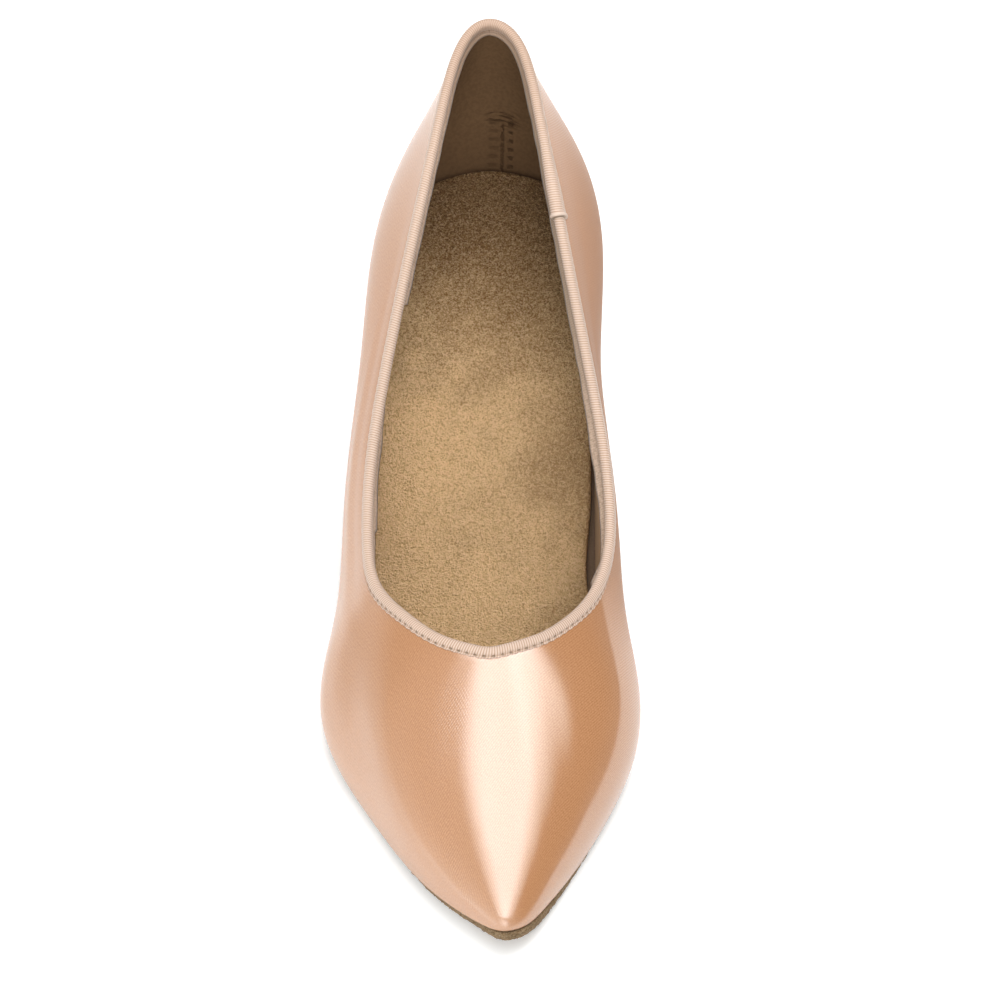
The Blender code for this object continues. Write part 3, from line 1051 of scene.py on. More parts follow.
# the margin shows only in the gap beside the sock, so its colour is dark as painted shade
CANVAS = Plain("canvas", (0.13, 0.078, 0.044))
RUBBER = Plain("tip_rubber", (0.05, 0.04, 0.04), 0.6)


# Pieces


class Crease(NamedTuple):
    """A soft ridge, or trough where its height is negative, that follows the topline."""

    start: float  # turn
    end: float  # turn
    down: float  # below the topline where it starts
    fall: float  # how much further down it ends
    width: float
    height: float


@dataclass
class Upper:
    """The satin and the lining behind it: one wall, open at the collar and underneath."""

    last: Last
    seam: float = 12.3  # turn at which the back seam runs, just inside the heel's middle
    satin: float = 0.7
    slit: float = 0.05  # between satin and lining
    sock_level: float = 64.9  # height of the sock's top at the back seam
    columns: int = 480
    rows: int = 60
    inner_rows: int = 12
    rim: float = 0.004  # part of the height over which a layer's edge is rounded
    edge: float = 0.1  # how far its edge is rounded
    seam_reach: float = 0.12  # share of the way round, to each side, that the seam's chart covers
    seam_far: float = 100.0  # what the chart says past that
    line_angle: float = math.radians(52.0)  # of the satin's lines over the shoe's width
    crease_ends: float = 0.3  # share of a crease over which each end fades
    creases: tuple[Crease, ...] = (
        Crease(4.0, 9.6, 5.2, -0.6, 1.8, 0.07),
        Crease(4.6, 9.0, 8.6, -0.4, 2.0, -0.08),
        Crease(4.2, 8.6, 12.6, 0.8, 2.4, 0.11),
        Crease(5.0, 8.2, 18.0, 1.5, 3.0, -0.12),
        Crease(14.2, 17.4, 6.0, -0.5, 2.0, 0.10),
        Crease(14.6, 17.8, 13.0, 1.0, 3.0, -0.12),
    )

    def _profile(self, outside: float, inside: float) -> tuple[Array, Array]:
        """Return the closed section of a layer of the wall.

        Args:
            outside: Depth of its outer face.
            inside: Depth of its inner face.

        Returns:
            Parts of the height, and depths.
        """
        low, high = 2.0 * self.rim, 1.0 - self.rim
        outer, inner = outside + self.edge, inside - self.edge
        up = [(part, outside) for part in np.linspace(low, high, self.rows)]
        down = [(part, inside) for part in np.linspace(high, low, self.inner_rows)]
        top = [(1.0, outer), (1.0, inner)]
        foot = [(self.rim, inner), (0.0, 0.5 * (outside + inside)), (self.rim, outer)]
        loop = np.array([*up, *top, *down, *foot, up[0]])
        return loop[:, 0], loop[:, 1]

    def _turn(self, share: Array) -> Array:
        """Return turns that start and end at the back seam."""
        return self.seam + share * self.last.round

    def _cloth(self) -> Place:
        """Lay the flat cloth over the wall.

        The cloth lies lengthwise over the vamp and round the quarters. Its coordinates
        are summed up along the topline and from there down each column.

        Returns:
            A function of share and part that gives the cloth's UV coordinates.
        """
        parts = np.linspace(1.0, 0.0, self.rows + 1)
        turns = self._turn(np.linspace(0.0, 1.0, self.columns + 1))
        turn, part = np.meshgrid(turns, parts, indexing="ij")
        points = self.last.wall(turn, part)
        out = self.last.wall_out(turn, part)
        side = np.sign(self.last.round - turn)[..., None]
        flat = out * np.array([1.0, 1.0, 0.0])
        ring = unit(np.cross(flat, [0.0, 0.0, 1.0]) + 1e-9) * -side
        ahead = unit(np.array([0.0, 1.0, 0.0]) - out * out[..., 1:2] + 1e-9)
        length = np.where(out[..., 1:2] > 0.0, ring, ahead)
        width = np.cross(length, out)
        sine, cosine = math.sin(self.line_angle), math.cos(self.line_angle)
        coordinates = []
        for direction in (width * sine - length * cosine, width * cosine + length * sine):
            top = np.sum(direction[1:, 0] * np.diff(points[:, 0], axis=0), axis=-1)
            down = np.sum(direction[:, 1:] * np.diff(points, axis=1), axis=-1)
            start = np.concatenate([[0.0], np.cumsum(top)])[:, None]
            coordinates.append(np.hstack([start, start + np.cumsum(down, axis=1)]))
        table = np.stack(coordinates, axis=-1)

        def cloth(share: Array, part: Array) -> Array:
            """Return the cloth's coordinates between the table's entries.

            Args:
                share: Shares of the way round.
                part: Parts of the wall's height.

            Returns:
                The coordinates in metres, a row each.
            """
            i = share * self.columns
            j = (1.0 - part) * self.rows
            low_i = np.clip(np.floor(i + 1e-6).astype(int), 0, self.columns - 1)
            low_j = np.clip(np.floor(j + 1e-6).astype(int), 0, self.rows - 1)
            a, b = (i - low_i)[:, None], (j - low_j)[:, None]
            near = table[low_i, low_j] * (1 - b) + table[low_i, low_j + 1] * b
            far = table[low_i + 1, low_j] * (1 - b) + table[low_i + 1, low_j + 1] * b
            return (near * (1 - a) + far * a) * MM

        return cloth

    def _creased(self, turn: Array, part: Array) -> Array:
        """Return how far the creases stand out.

        Args:
            turn: Places round the last.
            part: Parts of the wall's height, 0 at the feather edge and 1 at the topline.

        Returns:
            Heights over the plain wall.
        """
        turn = np.mod(turn, self.last.round)
        down = (1.0 - part) * self.last.reach(turn)
        stand = np.zeros_like(turn)
        for crease in self.creases:
            along = (turn - crease.start) / (crease.end - crease.start)
            middle = crease.down + crease.fall * along
            fade = smooth(0.0, self.crease_ends, along) * smooth(1.0, 1.0 - self.crease_ends, along)
            stand += crease.height * fade * np.exp(-(((down - middle) / crease.width) ** 2))
        return stand

    def _layer(self, name: str, outside: float, inside: float) -> Piece:
        """Make one closed layer of the wall.

        Args:
            name: Its name.
            outside: Depth of its outer face.
            inside: Depth of its inner face.

        Returns:
            The piece.
        """
        parts, depths = self._profile(outside, inside)
        cloth = self._cloth()

        def place(share: Array, row: Array) -> Array:
            """Return the layer's points.

            Args:
                share: Shares of the way round.
                row: Rows round the section.

            Returns:
                The points in metres, a row each.
            """
            turn, part = self._turn(share), parts[row]
            depth = depths[row] - self._creased(turn, part)
            return self.last.world(self.last.wall(turn, part, depth))

        charts = {
            "cloth": lambda share, row: cloth(share, parts[row]),
            "seam": lambda share, row: self._seam_chart(share, parts[row]),
        }
        return weave(name, self.columns, len(parts) - 1, place, charts)

    def _seam_chart(self, share: Array, part: Array) -> Array:
        """Return UV coordinates round the back seam.

        Args:
            share: Shares of the way, 0 to 1.
            part: Parts of the wall's height, 0 at the feather edge and 1 at the topline.

        Returns:
            Places across the seam, and up from the sock.
        """
        turn = self._turn(share)
        points = self.last.wall(turn, part)
        line = self.last.wall(np.full(len(part), self.seam), part)
        near = np.abs(share - 0.5) > 0.5 - self.seam_reach
        across = np.where(near, points[:, 0] - line[:, 0], self.seam_far)
        return pair(across, points[:, 2] - self.sock_level)

    def build(self, satin: Material, lining: Material) -> tuple[Piece, Piece]:
        """Make the satin and the lining.

        Args:
            satin: The outside's finish.
            lining: The inside's.

        Returns:
            Both pieces.
        """
        cover = self._layer("satin_upper", 0.0, self.satin)
        dress(cover, satin)
        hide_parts("upper")
        inner = self._layer("lining", self.satin + self.slit, self.last.thickness)
        dress(inner, lining)
        return cover, inner


class Strip(NamedTuple):
    """One line along the ribbon, in millimetres."""

    offset: float  # out from the middle of the wall
    down: float  # below the wall's edge
    ribs: float = 0.0  # how much of the ribs shows
    pull: float = 0.0  # how far each stitch pulls it in
    hem: float = 0.0  # how far it follows the hem's edge


class Hem(NamedTuple):
    """How far the ribbon reaches down inside, at a distance along the collar."""

    along: float
    down: float  # past the groove
    stand: float  # how far its edge stands off the lining


@dataclass
class CollarBinding:
    """The ribbed ribbon folded over the collar's edge and stitched down in a ditch."""

    last: Last
    rib: float = 0.66  # width, which is then fitted to the collar
    steps_per_rib: int = 4
    ridge: float = 0.12  # how high a rib stands
    slant: float = 0.14  # of the ribs, along the collar for each step across
    stitch: float = 2.15  # length, fitted in the same way
    hole: float = 0.42  # half the length of a stitch hole
    scallop: float = 0.10  # how far the hem bows between the stitches
    waver: float = 0.03  # how unevenly the inner edge stands off
    wavers: Span = (1.9, 5.3)  # how long its waves are, and how they drift
    fullness: float = 0.8  # how steep a rib's flanks are
    seating: float = 0.6  # part of a rib's height that sinks into the roll
    ditch_strips: tuple[int, int] = (5, 6)  # of the face
    valley_strip: int = 4  # of the inner face
    face: tuple[Strip, ...] = (
        Strip(0.72, 2.12, 0.0, 0.0, 1.0),
        Strip(0.84, 2.08, 0.3, 0.0, 1.0),
        Strip(0.90, 1.94, 0.3, 0.1, 0.6),
        Strip(0.88, 1.80, 0.3, 0.2, 0.2),
        Strip(0.84, 1.70, 0.2, 0.3),
        Strip(0.83, 1.60, 0.1, 0.3),
        Strip(0.90, 1.50, 0.3, 0.3),
        Strip(1.08, 1.36, 0.7, 0.2),
        Strip(1.29, 1.12, 0.9, 0.1),
        Strip(1.34, 0.78, 1.0),
        Strip(1.38, 0.40, 1.0),
    )
    inner_face: tuple[Strip, ...] = (
        Strip(-1.38, 0.40, 1.0),
        Strip(-1.35, 0.80, 1.0),
        Strip(-1.30, 1.10, 0.8),
        Strip(-1.10, 1.32, 0.3, 0.1),
        Strip(-1.02, 1.44, 0.1, 0.2),
        Strip(-1.12, 1.54, 0.2, 0.1, 0.03),
        Strip(-1.20, 1.60, 0.3, 0.0, 0.16),
        Strip(-1.20, 1.60, 0.3, 0.0, 0.30),
        Strip(-1.10, 1.62, 0.1, 0.1, 0.36),
        Strip(-1.10, 1.62, 0.1, 0.1, 0.40),
        Strip(-1.22, 1.60, 0.3, 0.0, 0.48),
        Strip(-1.20, 1.60, 0.3, 0.0, 0.75),
        Strip(-1.08, 1.62, 0.3, 0.0, 1.00),
    )
    backing: tuple[Strip, ...] = (
        Strip(-0.92, 1.60, hem=0.96),
        Strip(-0.78, 1.55, hem=0.40),
        Strip(-0.70, 1.30),
        Strip(-0.70, 0.00),
        Strip(0.00, -0.30),
        Strip(0.70, 0.00),
        Strip(0.70, 2.05),
    )
    hems: tuple[Hem, ...] = (
        Hem(0.0, 1.3, 0.8),
        Hem(16.0, 1.3, 1.7),
        Hem(24.0, 1.3, 2.4),
        Hem(48.0, 1.3, 2.8),
        Hem(64.0, 1.3, 2.8),
        Hem(104.0, 1.3, 2.4),
        Hem(114.0, 1.3, 2.7),
        Hem(122.0, 1.3, 3.0),
        Hem(134.0, 1.3, 2.8),
        Hem(145.0, 1.3, 2.3),
        Hem(155.0, 1.3, 2.1),
        Hem(161.0, 1.3, 3.8),
        Hem(167.0, 0.9, 2.2),
        Hem(171.0, 0.8, 0.0),
        Hem(246.0, 0.8, 0.0),
        Hem(252.0, 1.1, 1.9),
        Hem(268.5, 1.2, 2.3),
        Hem(269.5, 1.3, 3.1),
        Hem(293.0, 1.3, 3.0),
        Hem(304.0, 1.1, 1.8),
        Hem(314.0, 0.9, 0.8),
        Hem(329.5, 0.8, 0.3),
        Hem(330.5, 1.3, 2.6),
        Hem(360.0, 1.3, 2.3),
        Hem(384.0, 1.3, 1.9),
        Hem(400.0, 1.3, 1.4),
    )
    roll: float = 1.38  # radius of the fold over the collar's edge
    roll_parts: int = 9
    join: float = 63.2  # along the collar, where one end of the ribbon laps over the other
    lap: float = 0.50  # how far the upper end stands over the lower one
    lip: float = 0.42  # how far its folded edge stands over that
    lip_place: float = 0.5  # how far behind the end the fold is highest
    lip_half: float = 0.45  # half the fold's width
    lap_edge: float = 0.1  # half the length over which the end falls
    lap_fade: Span = (22.0, 4.0)  # how far behind the end the lap rises
    lap_below: float = 0.3  # share of the lap in the ditch and under the ribbon

    def __post_init__(self) -> None:
        """Measure the topline and share it out between whole ribs and stitches."""
        self.turns = np.linspace(0.0, self.last.round, 4801) + self.last.heel
        topline, _, _ = self.last.topline_frame(self.turns)
        steps = np.linalg.norm(np.diff(topline, axis=0), axis=1)
        self.lengths = np.concatenate([[0.0], np.cumsum(steps)])
        self.length = float(self.lengths[-1])
        self.ribs = round(self.length / self.rib)
        self.rib = self.length / self.ribs
        self.stitch = self.length / round(self.length / self.stitch)
        self._lay_out()

    def _lay_out(self) -> None:
        """Lay out the strips round the ribbon's section, with their outward directions."""
        angles = math.pi * np.arange(1, self.roll_parts) / self.roll_parts
        over = [Strip(self.roll * math.cos(a), -self.roll * math.sin(a), 1.0) for a in angles]
        self.loop = np.array([*self.face, *over, *self.inner_face, *self.backing, self.face[0]])
        section = self.loop[:, :2] + self.loop[:, 4:] * np.array([0.0, 1.0])
        steps = np.linalg.norm(np.diff(section, axis=0), axis=1)
        self.width = np.concatenate([[0.0], np.cumsum(steps)])
        tangent = unit(np.roll(section[:-1], -1, axis=0) - np.roll(section[:-1], 1, axis=0))
        normal = np.column_stack([-tangent[:, 1], tangent[:, 0]])
        self.normal = np.vstack([normal, normal[:1]])
        self.ditch = float(np.mean(self.width[list(self.ditch_strips)]))
        self.middle = float(self.width[len(self.face) + len(over) // 2])
        self.valley = float(self.width[len(self.face) + len(over) + self.valley_strip])

    def turn(self, along: Array) -> Array:
        """Return the turns at distances along the topline from the heel."""
        return np.interp(along, self.lengths, self.turns)

    def point(self, along: Array, offset: Array, down: Array) -> Array:
        """Return points near the topline.

        Args:
            along: Distances along the topline.
            offset: Distances out from the middle of the wall.
            down: Distances down from the wall's edge; negative ones lie over it.

        Returns:
            The points, a row each.
        """
        turn = self.turn(along)
        _, outward, up = self.last.topline_frame(turn)
        part = 1.0 - np.clip(down, 0.0, None) / self.last.reach(turn)
        out = self.last.wall_out(turn, part)
        out = np.where(down[:, None] > 0.0, out, outward)
        middle = offset - 0.5 * self.last.thickness
        points = self.last.wall(turn, part) + out * middle[:, None]
        return points + up * np.clip(-down, 0.0, None)[:, None]

    def _place(self, share: Array, row: Array) -> Array:
        """Return the ribbon's points.

        Args:
            share: Shares of its length.
            row: Strips across it.

        Returns:
            The points in metres, a row each.
        """
        along = share * self.length
        offset, down = self.loop[row, :2].T
        lift = self._lift(along, row)
        aside, below = self._hem(along, row)
        offset = offset + aside + self.normal[row, 0] * lift
        down = down + below + self.normal[row, 1] * lift
        return self.last.world(self.point(along, offset, down))

    def _to_hole(self, along: Array) -> Array:
        """Return how far the nearest stitch hole is along the collar."""
        return (along / self.stitch - np.rint(along / self.stitch)) * self.stitch

    def _lift(self, along: Array, row: Array) -> Array:
        """Return how far ribs, stitches and the lap lift the ribbon.

        Args:
            along: Distances along the topline.
            row: Strips across the ribbon.

        Returns:
            Distances square to its face.
        """
        ribs, pull = self.loop[row, 2:4].T
        phase = (along + self.slant * self.width[row]) / self.rib
        ridge = np.abs(np.sin(math.pi * phase)) ** self.fullness
        hole = np.exp(-((self._to_hole(along) / self.hole) ** 2))
        lift = ribs * self.ridge * (ridge - self.seating) - pull * hole
        past = self.join - along
        end = smooth(-self.lap_edge, self.lap_edge, past)
        lap = end * self.lap * smooth(*self.lap_fade, past)
        lip = self.lip * np.exp(-(((past - self.lip_place) / self.lip_half) ** 2))
        return lift + np.where(ribs > 0.5, lap + lip, self.lap_below * lap)

    def _hem(self, along: Array, row: Array) -> tuple[Array, Array]:
        """Return how far the ribbon's two edges leave their plain section.

        Args:
            along: Distances along the topline.
            row: Strips across the ribbon.

        Returns:
            Distances out from the wall, and down.
        """
        hem = self.loop[row, 4]
        inside = self.loop[row, 0] < 0.0
        marks, downs, stands = np.array(self.hems).T
        inner = hem * np.interp(along, marks, downs, period=self.length)
        stand = hem * np.interp(along, marks, stands, period=self.length)
        wave, drift = self.wavers
        stand *= 1.0 + self.waver * np.sin(along / wave + np.sin(along / drift))
        bow = np.cos(2.0 * math.pi * self._to_hole(along) / self.stitch)
        outer = -hem * self.scallop * bow
        return np.where(inside, -stand, 0.0), np.where(inside, inner, outer)

    def _chart(self, share: Array, row: Array) -> Array:
        """Return the ribbon's UV coordinates: along it with the ribs' slant, and across it."""
        return pair(share * self.length + self.slant * self.width[row], self.width[row])

    def build(self, ribbon: Material) -> Piece:
        """Make the ribbon.

        Args:
            ribbon: Its finish.

        Returns:
            The piece.
        """
        columns = self.ribs * self.steps_per_rib
        charts = {"ribbon": self._chart}
        piece = weave("collar_ribbon", columns, len(self.loop) - 1, self._place, charts)
        dress(piece, ribbon)
        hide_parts("collar_binding")
        return piece


@dataclass
class Plate:
    """A flat piece along the last's bottom: rows round its section, columns along it."""

    last: Last
    name: str
    slot: str
    columns: int
    across: int  # steps over its top
    under: int  # steps over its underside
    rim: tuple[Span, ...]  # inset and height, from the bottom edge to the top
    relief: float  # of the nap
    tuft: float  # size of the nap's tufts
    flank: float = 0.3  # share of the relief at the edge and underneath

    @property
    def ends(self) -> Span:
        """Return the turns at which the outer and the inner side end."""
        return self.last.heel, self.last.heel - self.last.round

    def _inset(self, turn: Array, row: Array) -> Array:
        """Return how far in from the feather edge the rim's rows lie at turns."""
        return np.array(self.rim)[row, 0]

    def _edge(self, share: Array, end: float, row: Array) -> Array:
        """Return one side's edge in plan, from the toe to its end."""
        turn = share * end
        return self.last.feather(turn, self._inset(turn, row))

    def place(self, share: Array, row: Array) -> Array:
        """Return the plate's points.

        Args:
            share: Shares of the way from the toe to the heel.
            row: Rows round the section.

        Returns:
            The points in metres, a row each.
        """
        rim = np.array(self.rim)
        outer_end, inner_end = self.ends
        last_row = len(rim) - 1
        opposite = last_row + self.across
        outer_row = np.clip(row, 0, last_row)
        inner_row = np.clip(opposite + last_row - row, 0, last_row)
        over = np.clip((row - last_row) / self.across, 0.0, 1.0)
        back = np.clip((row - opposite - last_row) / self.under, 0.0, 1.0)
        blend = (over - back)[:, None]
        outer = self._edge(share, outer_end, outer_row)
        inner = self._edge(share, inner_end, inner_row)
        plan = outer * (1.0 - blend) + inner * blend
        height = np.where(row <= last_row, rim[outer_row, 1], rim[inner_row, 1])
        height = np.where((row > last_row) & (row < opposite), rim[-1, 1], height)
        points = np.column_stack([plan, self.last.under(plan[:, 1], -height)])
        top = (row >= last_row) & (row <= opposite)
        points[:, 2] += self._nap(points) * np.where(top, 1.0, self.flank)
        return self.last.world(points)

    def _nap(self, points: Array) -> Array:
        """Return the heights of the nap's tufts."""
        size = 1.0 / self.tuft
        return np.array([self.relief * noise.noise(Vector(p) * size) for p in points])

    def build(self, material: Material) -> Piece:
        """Make the plate.

        Args:
            material: Its finish.

        Returns:
            The piece.
        """
        rows = 2 * (len(self.rim) - 1) + self.across + self.under
        piece = weave(self.name, self.columns, rows, self.place)
        return dress(piece, material)


@dataclass
class Sock(Plate):
    """The padded sock, which stays clear of the lining where the wall leans in."""

    name: str = "suede_sock"
    slot: str = "sock_suede"
    columns: int = 460
    across: int = 150
    under: int = 8
    rim: tuple[Span, ...] = (
        (1.9, 0.0),
        (1.9, 1.8),
        (2.0, 2.3),
        (2.3, 2.7),
        (2.7, 2.92),
        (3.1, 3.0),
    )
    relief: float = 0.16
    tuft: float = 1.4
    clearance: float = 0.5
    shy: float = 1.6  # how far its inner edge falls short of the wall beside the ball
    shy_at: Span = (4.0, 12.0)  # the middle of that and its half length

    def __post_init__(self) -> None:
        """Measure the wall's lean at the heights of the rim."""
        self.turns = np.linspace(0.0, self.last.round, 241)
        self.leans = [self.last.lean(self.turns, height) for _, height in self.rim]

    def _inset(self, turn: Array, row: Array) -> Array:
        """Return the rim's insets, more where the wall leans in over them.

        Args:
            turn: Places round the last.
            row: Rows of the rim.

        Returns:
            Distances in from the feather edge.
        """
        inset = super()._inset(turn, row)
        for k, lean in enumerate(self.leans):
            clear = np.interp(turn, self.turns, lean, period=self.last.round) + self.clearance
            inset = np.where(row == k, np.maximum(inset, clear), inset)
        x, y = (self.last.feather(turn) - self.last.middle[:2]).T
        middle, half = self.shy_at
        return inset + self.shy * np.exp(-(((y - middle) / half) ** 2)) * (x > 0.0)

    def build(self, material: Material) -> Piece:
        """Make the sock, which stands for the insole and is shaped like padding.

        Args:
            material: Its finish.

        Returns:
            The piece.
        """
        piece = super().build(material)
        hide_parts("insole")
        return piece


@dataclass
class Sole(Plate):
    """The suede sole, whose ragged edge stands out or in as the sections say."""

    name: str = "suede_sole"
    slot: str = "sole_suede"
    columns: int = 360
    across: int = 60
    under: int = 60
    rim: tuple[Span, ...] = (
        (0.5, -2.9),
        (0.15, -2.75),
        (0.0, -2.4),
        (0.0, -0.8),
        (0.15, -0.45),
        (0.5, -0.3),
    )
    relief: float = 0.05
    tuft: float = 1.4
    ragged: float = 0.30  # how far its edge wanders
    layers: float = 0.8  # how much that changes from row to row
    fibres: int = 110
    frayed: Span = (-2.6, 2.9)  # turns between which fibres stand out
    fibre: Span = (0.25, 0.5)  # lengths
    fibre_radii: Span = (0.22, 0.10)  # at its root and its end
    root: float = 0.1  # how far in from the sole's edge fibres start
    edge: float = 0.5  # how far below the sole's upper edge the first ones start
    stray: float = 0.45  # how far they turn out of their way
    seed: int = 5

    @property
    def ends(self) -> Span:
        """Return the turns at which the sides end, a gap in front of the heel's breast."""
        breast = Heel.breast - self.last.gap
        return self.last.turn_at(breast, -1.0), self.last.turn_at(breast, 1.0)

    def _inset(self, turn: Array, row: Array) -> Array:
        """Return the rim's insets less how far the sole stands out.

        Args:
            turn: Places round the last.
            row: Rows of the rim.

        Returns:
            Distances in from the feather edge.
        """
        plan = self.last.feather(turn)
        places = (Vector((*point, self.layers * level)) for point, level in zip(plan, row))
        rough = np.array([noise.noise(place) for place in places])
        return super()._inset(turn, row) - self.last.columns(turn)[:, -1] + self.ragged * rough

    def build(self, material: Material) -> Piece:
        """Make the sole and the fibres that stand out of its cut edge at the toe.

        Args:
            material: Its finish.

        Returns:
            The piece.
        """
        piece = super().build(material)
        chance = np.random.default_rng(self.seed)
        turns = chance.uniform(*self.frayed, self.fibres)
        inset = self.root - self.last.columns(turns)[:, -1]
        plan = self.last.feather(turns, inset)
        depth = chance.uniform(self.edge, self.last.sole, self.fibres)
        roots = self.last.world(np.column_stack([plan, self.last.under(plan[:, 1], depth)]))
        inward = self.last.feather(turns, inset + 1.0)
        out = np.column_stack([plan - inward, np.zeros(self.fibres)])
        ways = unit(out + chance.normal(0.0, self.stray, out.shape))
        lengths = chance.uniform(*self.fibre, self.fibres) * MM
        shape = bmesh.new()
        shape.from_mesh(piece.data)
        for root, way, length in zip(roots, ways, lengths):
            turned = Vector(way).to_track_quat("Z", "Y").to_matrix().to_4x4()
            middle = Matrix.Translation(Vector(root) + Vector(way) * 0.5 * length)
            bmesh.ops.create_cone(
                shape,
                cap_ends=True,
                segments=4,
                radius1=self.fibre_radii[0] * MM,
                radius2=self.fibre_radii[1] * MM,
                depth=float(length),
                matrix=middle @ turned,
            )
        shape.to_mesh(piece.data)
        shape.free()
        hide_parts("outsole")
        return piece


@dataclass
class LastingMargin:
    """The upper's cloth turned in under the sock's board."""

    last: Last
    columns: int = 360
    section: tuple[Span, ...] = (  # inset and height
        (0.3, -0.06),
        (1.4, -0.05),
        (4.0, -0.05),
        (4.0, -0.24),
        (1.4, -0.24),
        (0.3, -0.24),
        (0.3, -0.06),
    )

    def build(self, cloth: Material) -> Piece:
        """Make the margin, all the way round.

        Args:
            cloth: Its finish.

        Returns:
            The piece.
        """
        section = np.array(self.section)

        def place(share: Array, row: Array) -> Array:
            """Return the margin's points.

            Args:
                share: Shares of the way round.
                row: Rows round the section.

            Returns:
                The points in metres, a row each.
            """
            plan = self.last.feather(share * self.last.round, section[row, 0])
            height = self.last.under(plan[:, 1], -section[row, 1])
            return self.last.world(np.column_stack([plan, height]))

        margin = weave("lasting_margin", self.columns, len(section) - 1, place)
        return dress(margin, cloth)


@dataclass
class Heel:
    """The satin-covered heel and the tip that it stands on."""

    last: Last
    breast: float = 167.0  # back from the toe
    inset: float = 0.3  # from the feather edge
    shoulder: float = 0.17  # share of the height over which it keeps its top's width
    stem: float = 0.6  # share of the height over which it keeps its tip's width
    hollow: float = 5.0  # of the breast
    tip_height: float = 5.0
    tip_width: float = 23.0
    tip_depth: float = 24.0
    tip_back: float = 227.0  # its back, back from the toe
    tip_out: float = -2.2  # its middle, out from the centre line
    tip_edge: tuple[Span, ...] = ((0.5, 0.0), (0.15, 0.15), (0.0, 0.5))  # inset, from its face
    fullness: float = 0.75  # how square the tip's round is
    satin_round: float = 180.0  # length of the cover's satin, all the way round
    satin_row: float = 1.1  # length of it, down a row
    round_steps: int = 120
    front_steps: int = 40
    rows: int = 60

    @property
    def steps(self) -> int:
        """Return the number of steps all the way round."""
        return self.round_steps + self.front_steps

    def _outline(self, share: Array) -> tuple[Array, Array]:
        """Split the way round the heel between its back and its breast.

        Args:
            share: Shares of the way, 0 to 1.

        Returns:
            Parts of the way round the back, and across the breast.
        """
        step = share * self.steps
        round_part = np.clip(step / self.round_steps, 0.0, 1.0)
        front_part = np.clip((step - self.round_steps) / self.front_steps, 0.0, 1.0)
        return round_part, front_part

    def _top(self, share: Array) -> Array:
        """Return the outline under the seat.

        Args:
            share: Shares of the way, 0 to 1.

        Returns:
            Its points, a row each.
        """
        around, across = self._outline(share)
        start = self.last.turn_at(self.breast, -1.0)
        end = self.last.round + self.last.turn_at(self.breast, 1.0)
        plan = self.last.feather(start + around * (end - start), self.inset)
        first = self.last.feather(np.array([start]), self.inset)[0]
        final = self.last.feather(np.array([end]), self.inset)[0]
        front = final + (first - final) * across[:, None]
        plan = np.where(across[:, None] > 0.0, front, plan)
        return np.column_stack([plan, self.last.under(plan[:, 1], self.last.gap)])

    def _foot(self, share: Array, height: float, inset: float = 0.0) -> Array:
        """Return the tip's outline.

        Args:
            share: Shares of the way, 0 to 1.
            height: Height over the floor.
            inset: How far in it runs.

        Returns:
            Its points, a row each.
        """
        around, across = self._outline(share)
        angle = math.pi * (1.0 - around)
        wide = 0.5 * self.tip_width - inset
        deep = self.tip_depth - 2.0 * inset
        front = self.tip_back - self.tip_depth + inset
        cosine, sine = np.cos(angle), np.abs(np.sin(angle))
        out = self.tip_out + wide * np.sign(cosine) * np.abs(cosine) ** self.fullness
        out = np.where(across > 0.0, self.tip_out + wide * (1.0 - 2.0 * across), out)
        back = front + deep * np.where(across > 0.0, 0.0, sine**self.fullness)
        return np.column_stack([out, back, np.full(len(share), height)])

    def _cover(self, share: Array, row: Array) -> Array:
        """Return the cover's points.

        Args:
            share: Shares of the way, 0 to 1.
            row: Rows from under the seat down to the tip.

        Returns:
            The points, a row each.
        """
        top = self._top(share)
        foot = self._foot(share, self.tip_height + self.last.gap)
        height = top[:, 2] - foot[:, 2]
        _, across = self._outline(share)
        hollow = self.hollow * 4.0 * across * (1.0 - across)
        nothing = np.zeros_like(height)
        shoulder = top + np.column_stack([nothing, hollow, -self.shoulder * height])
        stem = foot + np.column_stack([nothing, hollow, self.stem * height])
        return sweep(row / self.rows, top, shoulder, stem, foot)

    def build(self, satin: Material, rubber: Material) -> tuple[Piece, Piece]:
        """Make the covered heel and its tip.

        Args:
            satin: The cover's finish.
            rubber: The tip's.

        Returns:
            Both pieces.
        """
        cover = weave(
            "heel_cover",
            self.steps,
            self.rows,
            lambda share, row: self.last.world(self._cover(share, row)),
            {"cloth": lambda share, row: pair(share * self.satin_round, row * self.satin_row)},
        )
        dress(cover, satin)
        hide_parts("heel_block")
        upper_edge = [(inset, self.tip_height - away) for inset, away in self.tip_edge]
        rim = (*upper_edge, *reversed(self.tip_edge))

        def place(share: Array, row: Array) -> Array:
            """Return the tip's points.

            Args:
                share: Shares of the way round.
                row: Rows from its top to the floor.

            Returns:
                The points in metres, a row each.
            """
            points = np.empty((len(share), 3))
            for i, (inset, height) in enumerate(rim):
                chosen = row == i
                points[chosen] = self._foot(share[chosen], height, inset)
            return self.last.world(points)

        tip = weave("heel_top_piece", self.steps, len(rim) - 1, place)
        dress(tip, rubber)
        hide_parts("heel_tip")
        return cover, tip


# The studio


@dataclass(frozen=True)
class Softbox:
    """A soft light: where it hangs, what it faces, its size and its brightness."""

    name: str
    where: Point
    size: Span
    brightness: float
    towards: Point | None = None  # or straight down

    def hang(self) -> None:
        """Hang the light."""
        light = bpy.data.lights.new(self.name, "AREA")
        light.shape = "RECTANGLE"
        light.size, light.size_y = self.size
        light.energy = self.brightness * math.pi * self.size[0] * self.size[1]
        lamp = link(self.name, light)
        lamp.location = self.where
        way = Vector(self.towards or (*self.where[:2], 0.0)) - Vector(self.where)
        lamp.rotation_euler = way.to_track_quat("-Z", "Y").to_euler()


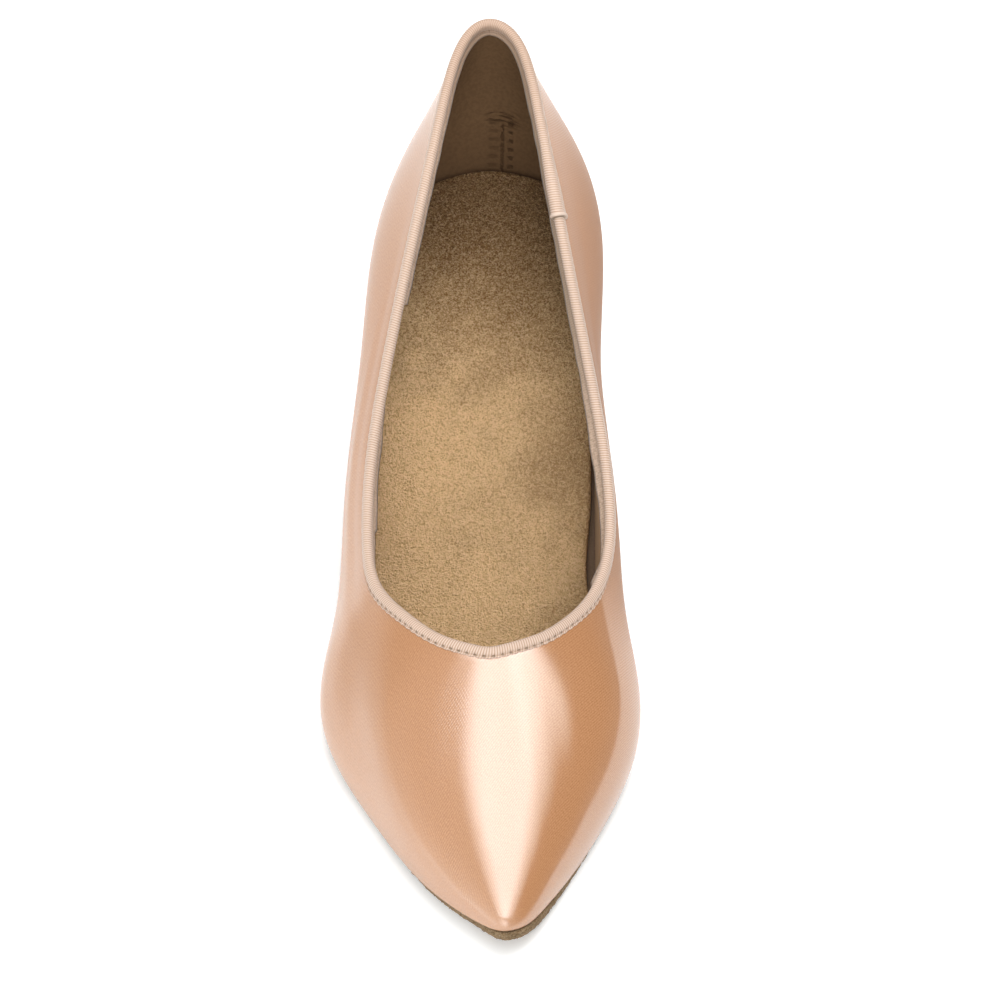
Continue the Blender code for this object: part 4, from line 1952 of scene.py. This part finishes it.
@dataclass(frozen=True)
class Studio:
    """Camera, floor and lights."""

    pivot: Point = (0.00383, -0.00232, 0.040)
    distance: float = 1.3
    elevation: float = math.radians(46.0)
    lens: float = 177.84
    shift: Span = (0.005, 0.024)
    boxes: tuple[Softbox, ...] = (
        Softbox("overhead", (0.195, 0.39, 1.1), (0.97, 0.92), 4.1),
        Softbox("overhead_left", (-0.23, -0.08, 1.1), (0.10, 0.08), 4.0),
        Softbox("overhead_middle", (0.19, -0.12, 1.1), (0.74, 0.10), 4.7),
        Softbox("overhead_front", (0.165, -0.58, 1.1), (0.58, 0.82), 4.2),
        Softbox("overhead_right", (0.465, 0.39, 1.09), (0.43, 0.92), 2.2),
        Softbox("front", (0.10, -1.55, 0.85), (0.40, 0.90), 3.5, towards=(0.0, -0.1, 0.0)),
    )
    haze: Span = (0.8, 0.28)  # from the horizon, on the left and on the right
    haze_change: Span = (-0.9, 0.3)  # where it goes from the one to the other
    haze_height: float = 0.6
    fill: float = 1.6  # from the front left, fading to the back and the right
    fill_from: Point = (-0.55, -0.82, 0.12)
    sky: Colour = (0.97, 1.0, 0.995)
    floor_side: float = 6.0
    painted_floor_light: Span = (0.3, 0.08)  # painted light: the floor's glow, on the left and on the right
    glow_change: Span = (-0.12, 0.14)

    def build(self) -> None:
        """Set up the studio."""
        scene = bpy.context.scene
        lens = bpy.data.cameras.new("camera")
        lens.lens = self.lens
        lens.shift_x, lens.shift_y = self.shift
        camera = link("camera", lens)
        away = Vector((0.0, -math.cos(self.elevation), math.sin(self.elevation)))
        camera.location = Vector(self.pivot) + away * self.distance
        camera.rotation_euler = (0.5 * math.pi - self.elevation, 0.0, 0.0)
        scene.camera = camera
        scene.view_settings.view_transform = "Standard"
        for box in self.boxes:
            box.hang()
        scene.world = self._light_the_room()
        self._lay_floor()

    def _light_the_room(self) -> bpy.types.World:
        """Make the haze at the horizon and the soft fill from the front left.

        Returns:
            The world.
        """
        bench = Bench(bpy.data.worlds.new("studio"))
        way = bench.node("ShaderNodeTexCoord", None, None, "Generated")
        side, _ = bench.plan(way)
        up = bench.node("ShaderNodeSeparateXYZ", None, {0: way}, "Z")
        settings = {"operation": "DOT_PRODUCT"}
        towards = bench.node("ShaderNodeVectorMath", settings, {0: way, 1: self.fill_from}, "Value")
        fill = (towards * self.fill).maths("MAXIMUM", 0.0)
        left, right = self.haze
        haze = side.step(*self.haze_change) * (right - left) + left
        strength = (1.0 - up.step(0.0, self.haze_height)) * haze + fill
        inputs = {"Color": (*self.sky, 1.0), "Strength": strength}
        return bench.node_out(bench.node("ShaderNodeBackground", None, inputs), "World")

    def _lay_floor(self) -> None:
        """Lay the pale floor, which glows a little as painted light, more on the left."""
        mesh = flat_grid("floor", 1, 1, 0.5 * self.floor_side)
        floor = link("floor", mesh)
        bench = Bench.material("pale_floor")
        side, _ = bench.plan(bench.place())
        left, right = ((level,) * 3 for level in self.painted_floor_light)
        glow = bench.mix(side.step(*self.glow_change), left, right)
        white = (0.9, 0.9, 0.9)
        paint = bench.finish(white, Roughness=0.9, Emission_Color=glow, Emission_Strength=1.0)
        mesh.materials.append(paint)


def report(*pieces: Piece) -> None:
    """Log each piece with its number of faces."""
    for piece in pieces:
        log.info("%s: %d faces", piece.name, len(piece.data.polygons))


def main() -> None:
    """Build the shoe's pieces and the studio round them."""
    logging.basicConfig(level=logging.INFO, format="%(message)s")
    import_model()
    last = Last()
    satin = Satin().material()
    binding = CollarBinding(last)
    report(*Upper(last).build(satin, Lining().material()))
    report(LastingMargin(last).build(CANVAS.material()))
    report(binding.build(Ribbon(binding).material()))
    report(Sock(last).build(SOCK_SUEDE.material()))
    report(Sole(last).build(SOLE_SUEDE.material()))
    report(*Heel(last).build(satin, RUBBER.material()))
    Studio().build()


if __name__ == "__main__":
    main()
